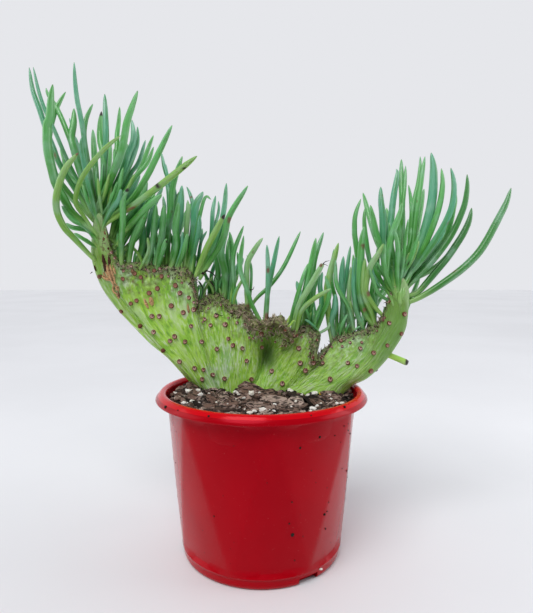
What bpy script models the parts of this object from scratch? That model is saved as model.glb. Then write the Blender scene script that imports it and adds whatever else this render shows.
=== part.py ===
"""Potted chalk sticks: a crested blue chalk sticks plant in a red nursery pot of bark mix.

Z is up, the pot stands on z = 0 with its axis on x = y = 0, and the broad face of the crest looks
along -Y. Sizes are in millimetres here and are scaled to metres where a mesh is made.

Places on the plant were judged by eye on a plain photograph. They are given as (x, z) in the upright
plane through the pot's axis, as seen from VIEW, and seen() carries them to their own depth.
"""
import math
import random

import bmesh
import bpy
from mathutils import Matrix, Vector

MM = 0.001
CLEAR = 0.3                                # gap between neighbouring pieces
VIEW = Vector((3.3, -345.0, 190.0))        # eye point of the plain photograph

# Pot
POT_HEIGHT = 109.4
RIM_RADIUS = 70.0                          # lower edge of the turned-down rim
RIM_TOP_RADIUS = 66.6
RIM_DEPTH = 4.9
WALL_TOP_RADIUS = 63.5                     # outside, just under the rim
WALL_LOW_RADIUS = 53.5                     # outside, above the foot step
FOOT_RADIUS = 52.6
FOOT_HEIGHT = 6.8
POT_WALL = 1.2
POT_FLOOR = 1.6
RIM_LIP = 1.1
POT_STEPS = 48
SLOT_COUNT = 3
SLOT_FIRST = math.radians(-90 + 33.4)      # the slot that shows at the right front
SLOT_SIZE = (9.0, 14.0, 3.4)

# Potting mix
MIX_TOP = 103.4
MIX_SIDES = 44
CHIPS = 60                                 # every third one is a grain of perlite

# Crest
FOOT_LEFT = -42.0
FOOT_RIGHT = 57.5
FOOT_LEVEL = 107.0
FOOT_DEPTH = (16.0, 4.5)                   # y of the crest's middle at the mix, left and right
FOOT_THICK = 19.0
RIDGE_THICK = 9.0
ARM_THICK = 13.0
BURIED = 30.0
ROWS = (0.0, 0.2, 0.42, 0.64, 0.84, 1.0)

# Side outlines of the crest, from the mix up to the arm tips.
LEFT_SIDE = ((-42, 107), (-51, 115), (-64.5, 130), (-75, 140), (-87, 150), (-99.5, 165), (-107, 180),
             (-112.5, 195), (-113.4, 206), (-111.5, 222))
RIGHT_SIDE = ((57.5, 107), (61.5, 111.2), (71.5, 117), (82, 128), (90, 140), (96, 152), (97.6, 163), (98.3, 176))

# The growing ridge from the left arm tip to the right one: x, z and depth y.
RIDGE = ((-111, 217, 8), (-108, 224, 8), (-104.5, 223.5, 8), (-101.5, 213, 8), (-98.8, 203, 9),
         (-93.5, 194, 11), (-82, 192.5, 14), (-70, 191, 16), (-58, 190.5, 15), (-49, 189.5, 13),
         (-43.5, 186, 12), (-43.8, 178, 13), (-44.5, 171, 14), (-41, 168, 16), (-34.5, 172, 19),
         (-27, 171.5, 19), (-21, 167.5, 16), (-16, 164.8, 14), (-11, 165, 11), (-8, 159.5, 9),
         (-5, 155.5, 7), (0, 154.5, 3), (6, 155.5, -2), (11.5, 157, -5), (16, 153, -4),
         (18.5, 147.5, 1), (21.5, 149, 7), (27, 151.2, 11), (33, 151, 10), (37.5, 147, 6),
         (38, 141, 3), (36.5, 132.5, 4), (40.5, 133.5, 9), (44.5, 138.5, 12), (50, 143.3, 13),
         (60, 146, 13), (70, 148.8, 11), (78, 153, 10), (82.5, 161, 9), (85.5, 172, 8),
         (89, 180.5, 7), (93, 182.5, 7), (96.5, 178.5, 7), (98.2, 171, 7))
HOLLOW_X = 9.0                             # the fold sinks in below the ear near this ridge x
HOLLOW_DEPTH = 10.0

# Leaves: width, lean of the tip away from the viewer, then x, z from root to tip.
LEAVES = (
    # left head
    (4.2, 16, -109, 219, -122, 243, -134, 264, -142, 285, -149.6, 317.5),
    (3.8, 10, -107.5, 221, -119, 247, -127, 264, -136, 283, -142.5, 300, -147, 318.5),
    (6.2, -12, -108.5, 212, -124, 231, -135, 247, -139, 264, -138, 280, -134.3, 307.5),
    (5.0, -20, -108.5, 196, -121, 206.5, -129.5, 218, -133, 231, -132, 244, -119.3, 266.5),
    (2.8, 26, -106, 220, -121, 255, -132, 277, -133, 291, -126, 303.5),
    (3.6, 22, -105.5, 221, -116, 250, -125.5, 276, -133.5, 294, -139, 306),
    (2.4, 30, -106, 222, -116.5, 266, -119, 276, -124.5, 287),
    (4.4, 4, -106, 221, -110.5, 245, -113.5, 262, -116.3, 283, -118.6, 300, -120.5, 321),
    (3.4, 18, -106.5, 219, -112, 245, -115, 262, -114.6, 278, -108, 296.3),
    (4.2, 12, -107.5, 219, -116, 243, -121, 258, -122.7, 272, -120, 295),
    (3.2, -8, -107.5, 220, -117, 253, -118.5, 264, -115.5, 276.5),
    (4.2, -26, -108, 211, -115, 220, -121.3, 230, -120, 243, -108, 261.5, -92.5, 275),
    (3.4, 20, -105, 222, -105, 248, -106, 265, -106.3, 278, -104, 291.5),
    (3.8, 14, -104.5, 221, -103, 245, -101.5, 262, -100.5, 280, -101.2, 301.5),
    (3.0, 28, -104, 220, -99, 246, -95.5, 260, -93.8, 277, -91.5, 293),
    (4.4, 2, -103, 218, -98, 240, -92.5, 256, -89.5, 272, -80, 304),
    (3.8, 12, -103, 216, -94, 238, -87, 252, -84, 270, -84.3, 287),
    (3.2, 22, -102.5, 216, -89, 240, -84, 252, -81.3, 265, -80.8, 280.7),
    (3.0, 26, -102, 214, -88, 238, -82, 250, -76, 272),
    (3.2, 16, -101.5, 212, -87, 236, -79, 249, -71, 267.5),
    (4.0, -4, -101, 209, -85, 230, -75.7, 245, -67.2, 265, -58.5, 282),
    (5.6, -24, -104, 213, -92, 225, -76, 238, -60, 249, -43, 262.5),
    (4.2, -14, -100.5, 205, -83, 222.5, -75, 233, -66.8, 250),
    (3.6, -16, -105, 218, -99.5, 228, -95, 235, -90.8, 241.5),
    (4.0, -18, -92, 192, -93, 207, -92, 222, -87.5, 242, -85.5, 251),
    (4.0, -6, -108, 212, -119, 221, -127, 226, -132, 234),
    (2.4, -10, -108, 211, -119, 215, -129, 221),
    (2.4, -16, -108, 204, -118, 209, -126, 213.5),
    (3.4, -18, -103.5, 219, -100, 238, -94, 252, -90, 268),
    (3.4, 30, -107, 217, -112, 240, -124, 251, -131, 263),
    # left lobe of the ridge
    (3.8, 4, -67, 190, -66, 205, -62, 225, -57, 243, -52.8, 262),
    (2.8, 14, -65, 190, -62, 225, -61, 240, -67, 264),
    (2.8, 20, -62, 190, -59.5, 230, -60.5, 246, -61.8, 257),
    (4.6, -4, -60, 190, -56, 208, -52.5, 224, -53, 243.5),
    (3.0, 8, -63, 190, -59.5, 212, -56, 229, -55, 238.5),
    (3.2, 0, -51, 190, -49.5, 210, -48.5, 226, -48.8, 233.5),
    (3.0, 10, -52, 190, -47.5, 208, -45.6, 228, -46.6, 237, -49, 241.3),
    (4.6, 2, -49, 189, -46, 208, -43.3, 228, -38.7, 239),
    (2.8, -6, -46, 188, -42.5, 210, -39.6, 230, -36.8, 236, -34.4, 233.8),
    (2.8, 12, -41, 186, -35, 208, -32, 226, -30.8, 236),
    (3.6, 6, -41, 186, -31.5, 208, -25, 227, -23.2, 244),
    (3.8, -12, -40, 184, -30, 207, -21.5, 223.5, -8.8, 242.5),
    (3.8, -14, -43, 186, -38, 200, -32, 211, -24.3, 224),
    (4.0, -10, -88, 191, -85, 205, -80, 220, -73, 236),
    (4.4, 2, -83, 191, -80, 207, -77, 222, -71, 240),
    (3.4, 18, -79, 191, -76, 210, -71.5, 228, -66, 242),
    (4.0, -6, -76, 190, -73.5, 204, -70, 218, -69, 231),
    (3.4, 10, -73, 190, -70, 210, -66.5, 226, -64.6, 236),
    (4.2, -8, -70, 190, -67.5, 203, -65, 216, -64, 230),
    (4.4, -10, -60, 190, -59, 203, -57.5, 216, -56, 231),
    (3.0, -12, -55, 190, -52.5, 201, -48.7, 211.3),
    (2.6, -10, -57, 190, -54, 202, -53.3, 212.5),
    (2.8, -14, -69, 189, -64.5, 200, -63, 209),
    (2.4, -14, -80, 190, -78, 201, -74, 209),
    (3.4, -6, -47, 188, -45, 202, -42, 213, -41, 224),
    # second lobe
    (4.8, -4, -25, 168, -26.5, 185, -26.5, 200, -20.8, 222),
    (3.6, 6, -20, 166, -21, 182, -19.5, 198, -21.8, 213.5),
    (3.6, -2, -18, 164, -19, 180, -18, 198, -12.5, 217),
    (3.0, 14, -32, 170, -33.5, 184, -31, 197, -29, 206),
    (3.4, 8, -29, 170, -29.5, 184, -30, 198, -27, 211),
    (3.2, 14, -23, 167, -23.5, 184, -24.6, 200, -23.5, 213),
    (2.6, 10, -20, 166, -17.5, 180, -16.8, 190, -14.6, 200),
    (3.6, 2, -9.5, 163, -10.3, 180, -9.5, 193, -4, 203.5, 1, 209),
    (3.0, 16, -8.5, 162, -4, 170, 5, 177.5, 14, 191, 25.2, 213.3),
    # shoot beside the ear
    (3.0, 6, 1.2, 151, -6, 164.5, -11.8, 176, -14, 190, -12.2, 210.5),
    (2.8, -4, 3, 151, 3.4, 170, 4, 188, 3.6, 204.5),
    (2.8, 4, 2, 151, 4.8, 170, 7, 189, 11.3, 210.7),
    # third lobe
    (3.0, 8, 18, 150, 22, 168, 26.5, 184.5, 31, 194),
    (3.6, 4, 24, 149, 28, 170, 32.3, 192, 35.3, 208.5),
    (3.6, 10, 27, 149, 31, 176, 36, 195, 40.6, 212),
    (3.8, -12, 21, 150, 23.5, 164, 29, 174.5, 39.5, 192),
    (2.9, -14, 23.5, 149, 25, 160.5, 33.5, 169.5, 44.5, 176.3),
    (3.0, 14, 34, 148, 38.5, 164, 40, 178, 40, 186.5),
    (3.4, 16, 30, 150, 32, 165, 34.5, 177, 37.5, 187),
    (3.0, 2, 36, 146, 40.5, 158, 42, 172, 41, 184),
    # right lobe
    (3.8, -2, 47, 141, 44.3, 160, 44.8, 178, 51.8, 206.3),
    (3.8, 6, 54, 143, 53.5, 162, 52.8, 180, 54.3, 197.3),
    (3.0, 12, 52, 143, 53.3, 168, 56, 188, 59.5, 204),
    (3.4, 4, 65, 145, 63, 165, 61, 185, 60.8, 197.5),
    (3.2, 10, 58, 144, 58.8, 164, 58, 178, 58.8, 191),
    (2.8, -6, 62, 145, 55.5, 162, 50.5, 178, 49.3, 196),
    (4.2, -2, 48.5, 141, 48.3, 154, 48.8, 163, 49, 172),
    (3.4, 10, 50, 142, 47, 165, 46.5, 182, 47.8, 203),
    (4.2, -4, 69, 147, 66.5, 165, 66, 182, 63.5, 196),
    (4.0, 4, 72, 148, 68.5, 172, 63, 197, 60.4, 216, 65.2, 235),
    (3.4, 14, 76, 150, 74, 170, 76, 190, 77, 204),
    (3.8, -8, 76, 150, 72, 160, 66.5, 174, 67.5, 196),
    # right head
    (3.0, 8, 86, 169, 73, 186, 68.8, 206, 66.8, 220, 68.4, 231.5),
    (4.0, 2, 87, 171, 79, 190, 74.5, 212, 71.2, 232),
    (3.9, 8, 89, 176, 83.5, 200, 79, 222, 78, 243.8),
    (4.4, 14, 90, 180, 84.3, 208, 85.3, 230, 88.6, 255),
    (3.0, 20, 91, 180, 90.3, 212, 91.7, 238, 91.3, 260.5),
    (2.4, 16, 91, 182, 92.8, 212, 93.6, 240, 93.7, 254.5),
    (4.0, -14, 87, 174, 83.5, 194, 85.5, 212, 92.3, 233),
    (3.0, 24, 92, 180, 97, 204, 98.6, 226, 96.3, 243.8),
    (3.8, 12, 92, 180, 97, 208, 100.8, 236, 103.3, 262.5),
    (3.6, 4, 93, 180, 100, 206, 103, 236, 106.3, 261.8),
    (4.2, 10, 93, 180, 103, 205, 110, 236, 110.5, 264.3),
    (4.2, 0, 94, 180, 105, 207, 112.7, 236, 112.8, 256.5),
    (3.3, 16, 94, 180, 108, 206, 117.5, 234, 117.3, 254.8),
    (3.8, 6, 94, 180, 110, 197.5, 124, 224, 123.2, 254.8),
    (3.2, 20, 94, 180, 113, 196, 124, 213, 126.6, 229),
    (3.7, 8, 94, 178, 112, 193, 130, 220, 134.3, 251),
    (3.6, 14, 94, 168, 110, 181, 129, 203, 137.5, 229.5),
    (4.4, 6, 94, 163, 112, 175.5, 137, 195, 153, 220, 162.9, 242.5),
    (4.0, -18, 86, 162, 73, 171, 69.2, 182, 72, 193.5, 80.8, 207.3),
    (3.4, -16, 88, 172, 83, 184, 80.5, 196, 81.5, 209),
    (3.0, -12, 92, 176, 90, 190, 87.5, 203, 88, 214),
    (2.6, 24, 94, 168, 102, 178, 106, 190, 116, 204),
)

# Leaf scars on the viewer's side.
SCARS = ((-107, 184), (-92, 182.5), (-84, 186), (-80, 183.5), (-71, 188), (-66, 184), (-57, 178),
         (-69, 176), (-54, 173), (-74.5, 173), (-48, 170), (-87, 166), (-83, 168), (-60, 164.5),
         (-45, 162), (-52, 160), (-93, 161), (-73, 157.5), (-68, 157.5), (-38, 155.5), (-30, 158),
         (-47, 151), (-34, 151.5), (-24, 152), (-81, 151), (-72, 147), (-58, 144), (-61, 141),
         (-51, 140.5), (-40, 140.5), (-22, 142.5), (-19, 138), (-30, 135.5), (-13, 136), (0, 137),
         (-66, 134.5), (-10, 127.5), (-55, 127), (-45, 122.5), (-39, 121.5), (-33, 118), (-40, 115),
         (-25, 115.5), (-7, 115), (7, 120.5), (14, 112), (0, 146.5), (20, 141), (25, 136), (26, 126),
         (29.5, 121), (35, 126), (41, 126), (46, 115), (53, 141), (58, 126), (64, 124), (66, 136),
         (75, 133), (84, 138), (85, 153), (93, 146), (95, 159), (73, 121))
BACK_SCARS = 10
BRISTLES = 34
HEAD_FILL = 7


def seen(x, z, y):
    """Point at depth y that covers (x, z) of the plane y = 0 for an eye at VIEW."""
    k = (y - VIEW.y) / -VIEW.y
    return Vector((VIEW.x + (x - VIEW.x) * k, y, VIEW.z + (z - VIEW.z) * k))


def along(points, t):
    """Point at the share t of a smooth line through points, evenly by their distances."""
    steps = [0.0]
    for a, b in zip(points, points[1:]):
        steps.append(steps[-1] + (b - a).length)
    s = min(max(t, 0.0), 1.0) * steps[-1]
    i = 0
    while i < len(points) - 2 and s > steps[i + 1]:
        i += 1
    p1, p2 = points[i], points[i + 1]
    p0 = points[i - 1] if i else p1 * 2 - p2
    p3 = points[i + 2] if i + 2 < len(points) else p2 * 2 - p1
    f = (s - steps[i]) / (steps[i + 1] - steps[i])
    return 0.5 * (2 * p1 + (p2 - p0) * f + (2 * p0 - 5 * p1 + 4 * p2 - p3) * f * f
                  + (3 * p1 - p0 - 3 * p2 + p3) * f * f * f)


def new_collection(name, cutters=False):
    """Collection under the scene. Cutters are kept out of renders."""
    coll = bpy.data.collections.new(name)
    bpy.context.scene.collection.children.link(coll)
    coll.hide_render = cutters
    return coll


def mesh_object(name, verts, faces, coll):
    """Object with outward faces from millimetre corners."""
    mesh = bpy.data.meshes.new(name)
    mesh.from_pydata([tuple(v * MM for v in p) for p in verts], [], faces)
    bm = bmesh.new()
    bm.from_mesh(mesh)
    bmesh.ops.recalc_face_normals(bm, faces=bm.faces)
    bm.to_mesh(mesh)
    bm.free()
    obj = bpy.data.objects.new(name, mesh)
    coll.objects.link(obj)
    return obj


def boolean(obj, coll, operation, solver="EXACT"):
    """Apply one boolean of obj with a whole collection and remove the collection's objects."""
    mod = obj.modifiers.new(operation.title(), "BOOLEAN")
    mod.operation = operation
    mod.solver = solver
    mod.operand_type = "COLLECTION"
    mod.collection = coll
    bpy.context.view_layer.objects.active = obj
    bpy.ops.object.modifier_apply(modifier=mod.name)
    for other in list(coll.objects):
        bpy.data.objects.remove(other, do_unlink=True)


def tidy(obj):
    """Keep the largest body and split its faces in triangles."""
    bm = bmesh.new()
    bm.from_mesh(obj.data)
    bodies = []
    left = set(bm.verts)
    while left:
        body = [left.pop()]
        for vert in body:
            for edge in vert.link_edges:
                other = edge.other_vert(vert)
                if other in left:
                    left.remove(other)
                    body.append(other)
        bodies.append(body)
    bodies.sort(key=len)
    bmesh.ops.delete(bm, geom=[vert for body in bodies[:-1] for vert in body], context="VERTS")
    bmesh.ops.triangulate(bm, faces=bm.faces)
    bmesh.ops.recalc_face_normals(bm, faces=bm.faces)
    bm.to_mesh(obj.data)
    bm.free()


def paint(obj, name, colour, roughness):
    """Give obj one plain material."""
    mat = bpy.data.materials.new(name)
    mat.use_nodes = True
    shader = mat.node_tree.nodes["Principled BSDF"]
    shader.inputs["Base Color"].default_value = (*colour, 1.0)
    shader.inputs["Roughness"].default_value = roughness
    shader.inputs["Metallic"].default_value = 0.0
    obj.data.materials.clear()
    obj.data.materials.append(mat)


def split_loose(obj):
    """Make each loose body of obj an object of its own in the same collection."""
    bpy.ops.object.select_all(action="DESELECT")
    bpy.context.view_layer.objects.active = obj
    obj.select_set(True)
    bpy.ops.object.mode_set(mode="EDIT")
    bpy.ops.mesh.select_all(action="SELECT")
    bpy.ops.mesh.separate(type="LOOSE")
    bpy.ops.object.mode_set(mode="OBJECT")


def sprout(name, stalks, coll):
    """Tapered leaves from one bevelled curve: each stalk is a list of points and one of widths."""
    curve = bpy.data.curves.new(name, "CURVE")
    curve.dimensions = "3D"
    curve.bevel_depth = MM / 1.8
    curve.bevel_resolution = 0
    curve.use_fill_caps = True
    for points, widths in stalks:
        spline = curve.splines.new("POLY")
        spline.points.add(len(points) - 1)
        for knot, p, width in zip(spline.points, points, widths):
            knot.co = (p.x * MM, p.y * MM, p.z * MM, 1)
            knot.radius = width
    guide = bpy.data.objects.new(name, curve)
    coll.objects.link(guide)
    bpy.context.view_layer.update()
    mesh = bpy.data.meshes.new_from_object(guide.evaluated_get(bpy.context.evaluated_depsgraph_get()))
    bpy.data.objects.remove(guide, do_unlink=True)
    bm = bmesh.new()
    bm.from_mesh(mesh)
    bmesh.ops.remove_doubles(bm, verts=bm.verts, dist=0.002 * MM)
    bmesh.ops.recalc_face_normals(bm, faces=bm.faces)
    bm.to_mesh(mesh)
    bm.free()
    obj = bpy.data.objects.new(name, mesh)
    coll.objects.link(obj)
    split_loose(obj)


def frame_at(place, way, scale=(1, 1, 1)):
    """Matrix that stands a primitive at a millimetre place with its z along way."""
    turn = way.to_track_quat("Z", "Y").to_matrix().to_4x4()
    return Matrix.Translation(place * MM) @ turn @ Matrix.Diagonal((*scale, 1.0))


# The crest as a formula: rib i runs from the mix to ridge point i, and v goes up it from 0 to 1.

def side_bend(side, v):
    """How far a side outline stands out from the straight line between its ends."""
    points = [Vector((x, 0, z)) for x, z in side]
    return along(points, v) - points[0].lerp(points[-1], v)


def foot_x(i):
    """Where rib i leaves the mix. The ribs crowd toward the left."""
    share = (RIDGE[i][0] - RIDGE[0][0]) / (RIDGE[-1][0] - RIDGE[0][0])
    x = FOOT_LEFT + (FOOT_RIGHT - FOOT_LEFT) * max(share, 0.0) ** 1.7
    if i and x < foot_x(i - 1) + 0.5:
        x = foot_x(i - 1) + 0.5
    return min(x, FOOT_RIGHT - 0.5 * (len(RIDGE) - 1 - i))


def crest_mid(i, v):
    """Middle of the crest's thickness on rib i at height share v, at its own depth."""
    x, z, top = RIDGE[i]
    foot = Vector((foot_x(i), 0, FOOT_LEVEL))
    base = FOOT_DEPTH[0] + (FOOT_DEPTH[1] - FOOT_DEPTH[0]) * (foot.x - FOOT_LEFT) / (FOOT_RIGHT - FOOT_LEFT)
    left = max(0.0, 1 - (x + 113) / 90) ** 1.6
    right = max(0.0, 1 - (98 - x) / 70) ** 1.4
    p = foot.lerp(Vector((x, 0, z)), v) + side_bend(LEFT_SIDE, v) * left + side_bend(RIGHT_SIDE, v) * right
    hollow = HOLLOW_DEPTH * math.exp(-((x - HOLLOW_X) / 9) ** 2)
    y = base + (top - base) * v ** 4 + hollow * 4 * v * (1 - v)
    return seen(p.x, p.z, y)


def crest_normal(i, v):
    """Unit normal of the crest's middle sheet, toward the viewer and never far from it."""
    a, b = max(i - 2, 0), min(i + 2, len(RIDGE) - 1)
    across = crest_mid(b, v) - crest_mid(a, v)
    up = crest_mid(i, min(v + 0.1, 1)) - crest_mid(i, max(v - 0.1, 0))
    n = across.cross(up).normalized()
    if n.y > 0:
        n = -n
    n.y = min(n.y, -0.55)
    n.z *= 0.5
    return n.normalized()


def crest_thickness(i, v):
    """Full thickness, rounded off toward both side outlines."""
    x = RIDGE[i][0]
    arm = max(0.0, 1 - (x + 113) / 24, 1 - (98 - x) / 20)
    full = FOOT_THICK + (RIDGE_THICK + (ARM_THICK - RIDGE_THICK) * min(arm, 1) - FOOT_THICK) * v ** 0.8
    p = crest_mid(i, v)
    edge = min((p - crest_mid(0, v)).length, (p - crest_mid(len(RIDGE) - 1, v)).length)
    inset = 1 - min(edge / (full * 0.55), 1)
    return full * math.sqrt(max(1 - inset * inset, 0))


def crest_loop(v, grow=0.0, drop=0.0, squeeze=1.0):
    """Ring of corners round the crest at height share v, front from left to right and back again."""
    last = len(RIDGE) - 1
    centre = Vector(((FOOT_LEFT + FOOT_RIGHT) / 2, sum(FOOT_DEPTH) / 2, 0))
    front, back = [], []
    for i in range(last + 1):
        p = crest_mid(i, v)
        n = crest_normal(i, v)
        half = crest_thickness(i, v) / 2 + grow
        if i in (0, last):
            p.x += grow if i else -grow
            front.append(p)
        else:
            front.append(p + n * half)
            back.append(p - n * half)
    loop = front + back[::-1]
    return [Vector((centre.x + (p.x - centre.x) * squeeze, centre.y + (p.y - centre.y) * squeeze,
                    p.z - drop)) for p in loop]


def loft(name, loops, coll):
    """Closed solid through loops of equal length, its faces split alike all round."""
    n = len(loops[0])
    verts = [p for loop in loops for p in loop]
    faces = []
    for r in range(len(loops) - 1):
        for k in range(n):
            a, b = r * n + k, r * n + (k + 1) % n
            faces.append((a, b, b + n))
            faces.append((a, b + n, a + n))
    top = (len(loops) - 1) * n
    half = n // 2
    for start, flip in ((0, False), (top, True)):
        for k in range(half):
            a, b = start + k, start + k + 1
            c, d = start + (n - k) % n, start + n - k - 1
            quad = [a, b, d] if k == 0 else [a, b, d, c]
            if k == half - 1:
                quad = [a, b, c]
            faces.append(tuple(quad[::-1] if flip else quad))
    return mesh_object(name, verts, faces, coll)


def crest_body(name, coll, grow=0.0, top=None):
    """The crest's flattened stem. With grow it is the cutter for the hole that it stands in."""
    loops = [crest_loop(0, grow, BURIED + grow, 0.75)]
    loops += [crest_loop(v, grow) for v in ROWS if top is None or v <= top]
    if top is None:
        cap = []
        for p, q in zip(crest_loop(1.0), crest_loop(ROWS[-2])):
            cap.append(p + (p - q).normalized() * 1.6)
        mid = [cap[k].lerp(cap[(len(cap) - k) % len(cap)], 0.26) for k in range(len(cap))]
        loops.append(mid)
    return loft(name, loops, coll)


def ridge_depth(x, z):
    """Depth of the ridge point nearest to a leaf root."""
    return min(RIDGE, key=lambda r: (r[0] - x) ** 2 + (r[1] - z) ** 2)[2]


LEAF_SHAPE = ((0.0, 0.66), (0.22, 0.94), (0.5, 1.04), (0.8, 0.86), (1.0, 0.1))


def stalk(width, lean, flat_points):
    """Points and widths of a leaf whose root is sunk into what it grows from."""
    y0 = ridge_depth(*flat_points[0]) + max(-4.0, min(4.0, lean * 0.3))
    last = len(flat_points) - 1
    points = [seen(x, z, y0 + lean * (k / last) ** 1.3) for k, (x, z) in enumerate(flat_points)]
    points[0] += (points[0] - points[1]).normalized() * 2.5
    return [along(points, t) for t, _ in LEAF_SHAPE], [width * w for _, w in LEAF_SHAPE]


def fill_leaves():
    """Lesser leaves between and behind the ones in the list, by a rule along the ridge."""
    rng = random.Random(11)
    rows = []
    for first, last, count, low, high in ((6, 10, 7, 34, 46), (14, 17, 4, 26, 36), (27, 29, 3, 26, 34),
                                          (34, 37, 5, 30, 42)):
        for k in range(count):
            s = first + (last - first) * (k + rng.uniform(0.2, 0.8)) / count
            a, b = RIDGE[int(s)], RIDGE[int(s) + 1]
            x = a[0] + (b[0] - a[0]) * (s % 1)
            z = a[1] + (b[1] - a[1]) * (s % 1) - 1
            tilt = math.radians(rng.uniform(-12, 20) + 0.1 * x)
            length = rng.uniform(low, high)
            rows.append((rng.uniform(3.0, 4.2), rng.uniform(14, 38),
                         ((x, z), (x + math.sin(tilt) * length * 0.5, z + length * 0.52),
                          (x + math.sin(tilt * 1.5) * length, z + length * math.cos(tilt)))))
    for x, z, turn in ((-106, 219, -4), (92, 178, 16)):
        for k in range(HEAD_FILL):
            tilt = math.radians(turn + 52 * ((k + 0.5) / HEAD_FILL * 2 - 1))
            length = rng.uniform(50, 68)
            rows.append((rng.uniform(3.2, 4.2), rng.uniform(26, 48),
                         ((x, z), (x + math.sin(tilt) * length * 0.5, z + math.cos(tilt) * length * 0.5),
                          (x + math.sin(tilt * 0.8) * length, z + math.cos(tilt * 0.8) * length))))
    return rows


def build_pot(coll, cutters):
    """Thin-walled pot turned about its axis, with drainage slots in its bottom corner."""
    profile = ((0, 0), (50.2, 0), (51.9, 0.8), (FOOT_RADIUS, 2.4), (FOOT_RADIUS + 0.3, FOOT_HEIGHT - 0.5),
               (WALL_LOW_RADIUS, FOOT_HEIGHT), (WALL_TOP_RADIUS, 103.6), (63.9, 106.3), (65.2, 107.6),
               (RIM_RADIUS - RIM_LIP, POT_HEIGHT - RIM_DEPTH - 0.1), (RIM_RADIUS, POT_HEIGHT - RIM_DEPTH),
               (RIM_TOP_RADIUS + 0.3, POT_HEIGHT - 0.4), (RIM_TOP_RADIUS - 0.4, POT_HEIGHT),
               (64.2, POT_HEIGHT), (63.4, POT_HEIGHT - 0.5), (WALL_TOP_RADIUS - POT_WALL, 104.4),
               (WALL_LOW_RADIUS - POT_WALL, 8.0), (FOOT_RADIUS - POT_WALL - 0.2, 3.4),
               (FOOT_RADIUS - 3.4, POT_FLOOR), (0, POT_FLOOR))
    pot = turned("pot", profile, POT_STEPS, coll)
    for k in range(SLOT_COUNT):
        angle = SLOT_FIRST + 2 * math.pi * k / SLOT_COUNT
        bpy.ops.mesh.primitive_cube_add(size=1)
        slot = bpy.context.active_object
        slot.name = f"slot_cut_{k + 1}"
        slot.scale = tuple(s * MM for s in SLOT_SIZE)
        slot.location = (math.cos(angle) * FOOT_RADIUS * MM, math.sin(angle) * FOOT_RADIUS * MM,
                         (SLOT_SIZE[2] / 2 - 0.9) * MM)
        slot.rotation_euler.z = angle
        bpy.ops.object.transform_apply(location=True, rotation=True, scale=True)
        for old in list(slot.users_collection):
            old.objects.unlink(slot)
        cutters.objects.link(slot)
        slot.display_type = "WIRE"
    boolean(pot, cutters, "DIFFERENCE")
    tidy(pot)
    paint(pot, "red_plastic", (0.42, 0.005, 0.018), 0.3)
    return pot


def turned(name, profile, steps, coll):
    """Closed solid from a profile of (radius, height) whose ends lie on the axis."""
    mesh = bpy.data.meshes.new(name)
    mesh.from_pydata([(r * MM, 0, z * MM) for r, z in profile],
                     [(k, k + 1) for k in range(len(profile) - 1)], [])
    obj = bpy.data.objects.new(name, mesh)
    coll.objects.link(obj)
    turn = obj.modifiers.new("Turn", "SCREW")
    turn.steps = steps
    turn.render_steps = steps
    turn.use_merge_vertices = True
    turn.merge_threshold = 1e-5
    bpy.context.view_layer.objects.active = obj
    bpy.ops.object.modifier_apply(modifier=turn.name)
    tidy(obj)
    return obj


def mix_height(x, y):
    """Uneven top of the potting mix, highest round the foot of the crest."""
    waves = 1.2 * math.sin(0.13 * x + 0.4) * math.cos(0.11 * y - 0.8) + 0.9 * math.sin(0.31 * x - 0.22 * y)
    heap = 2.6 * math.exp(-(((x - 4) / 44) ** 2 + ((y - 12) / 22) ** 2))
    return MIX_TOP - 0.9 + waves + heap


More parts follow.
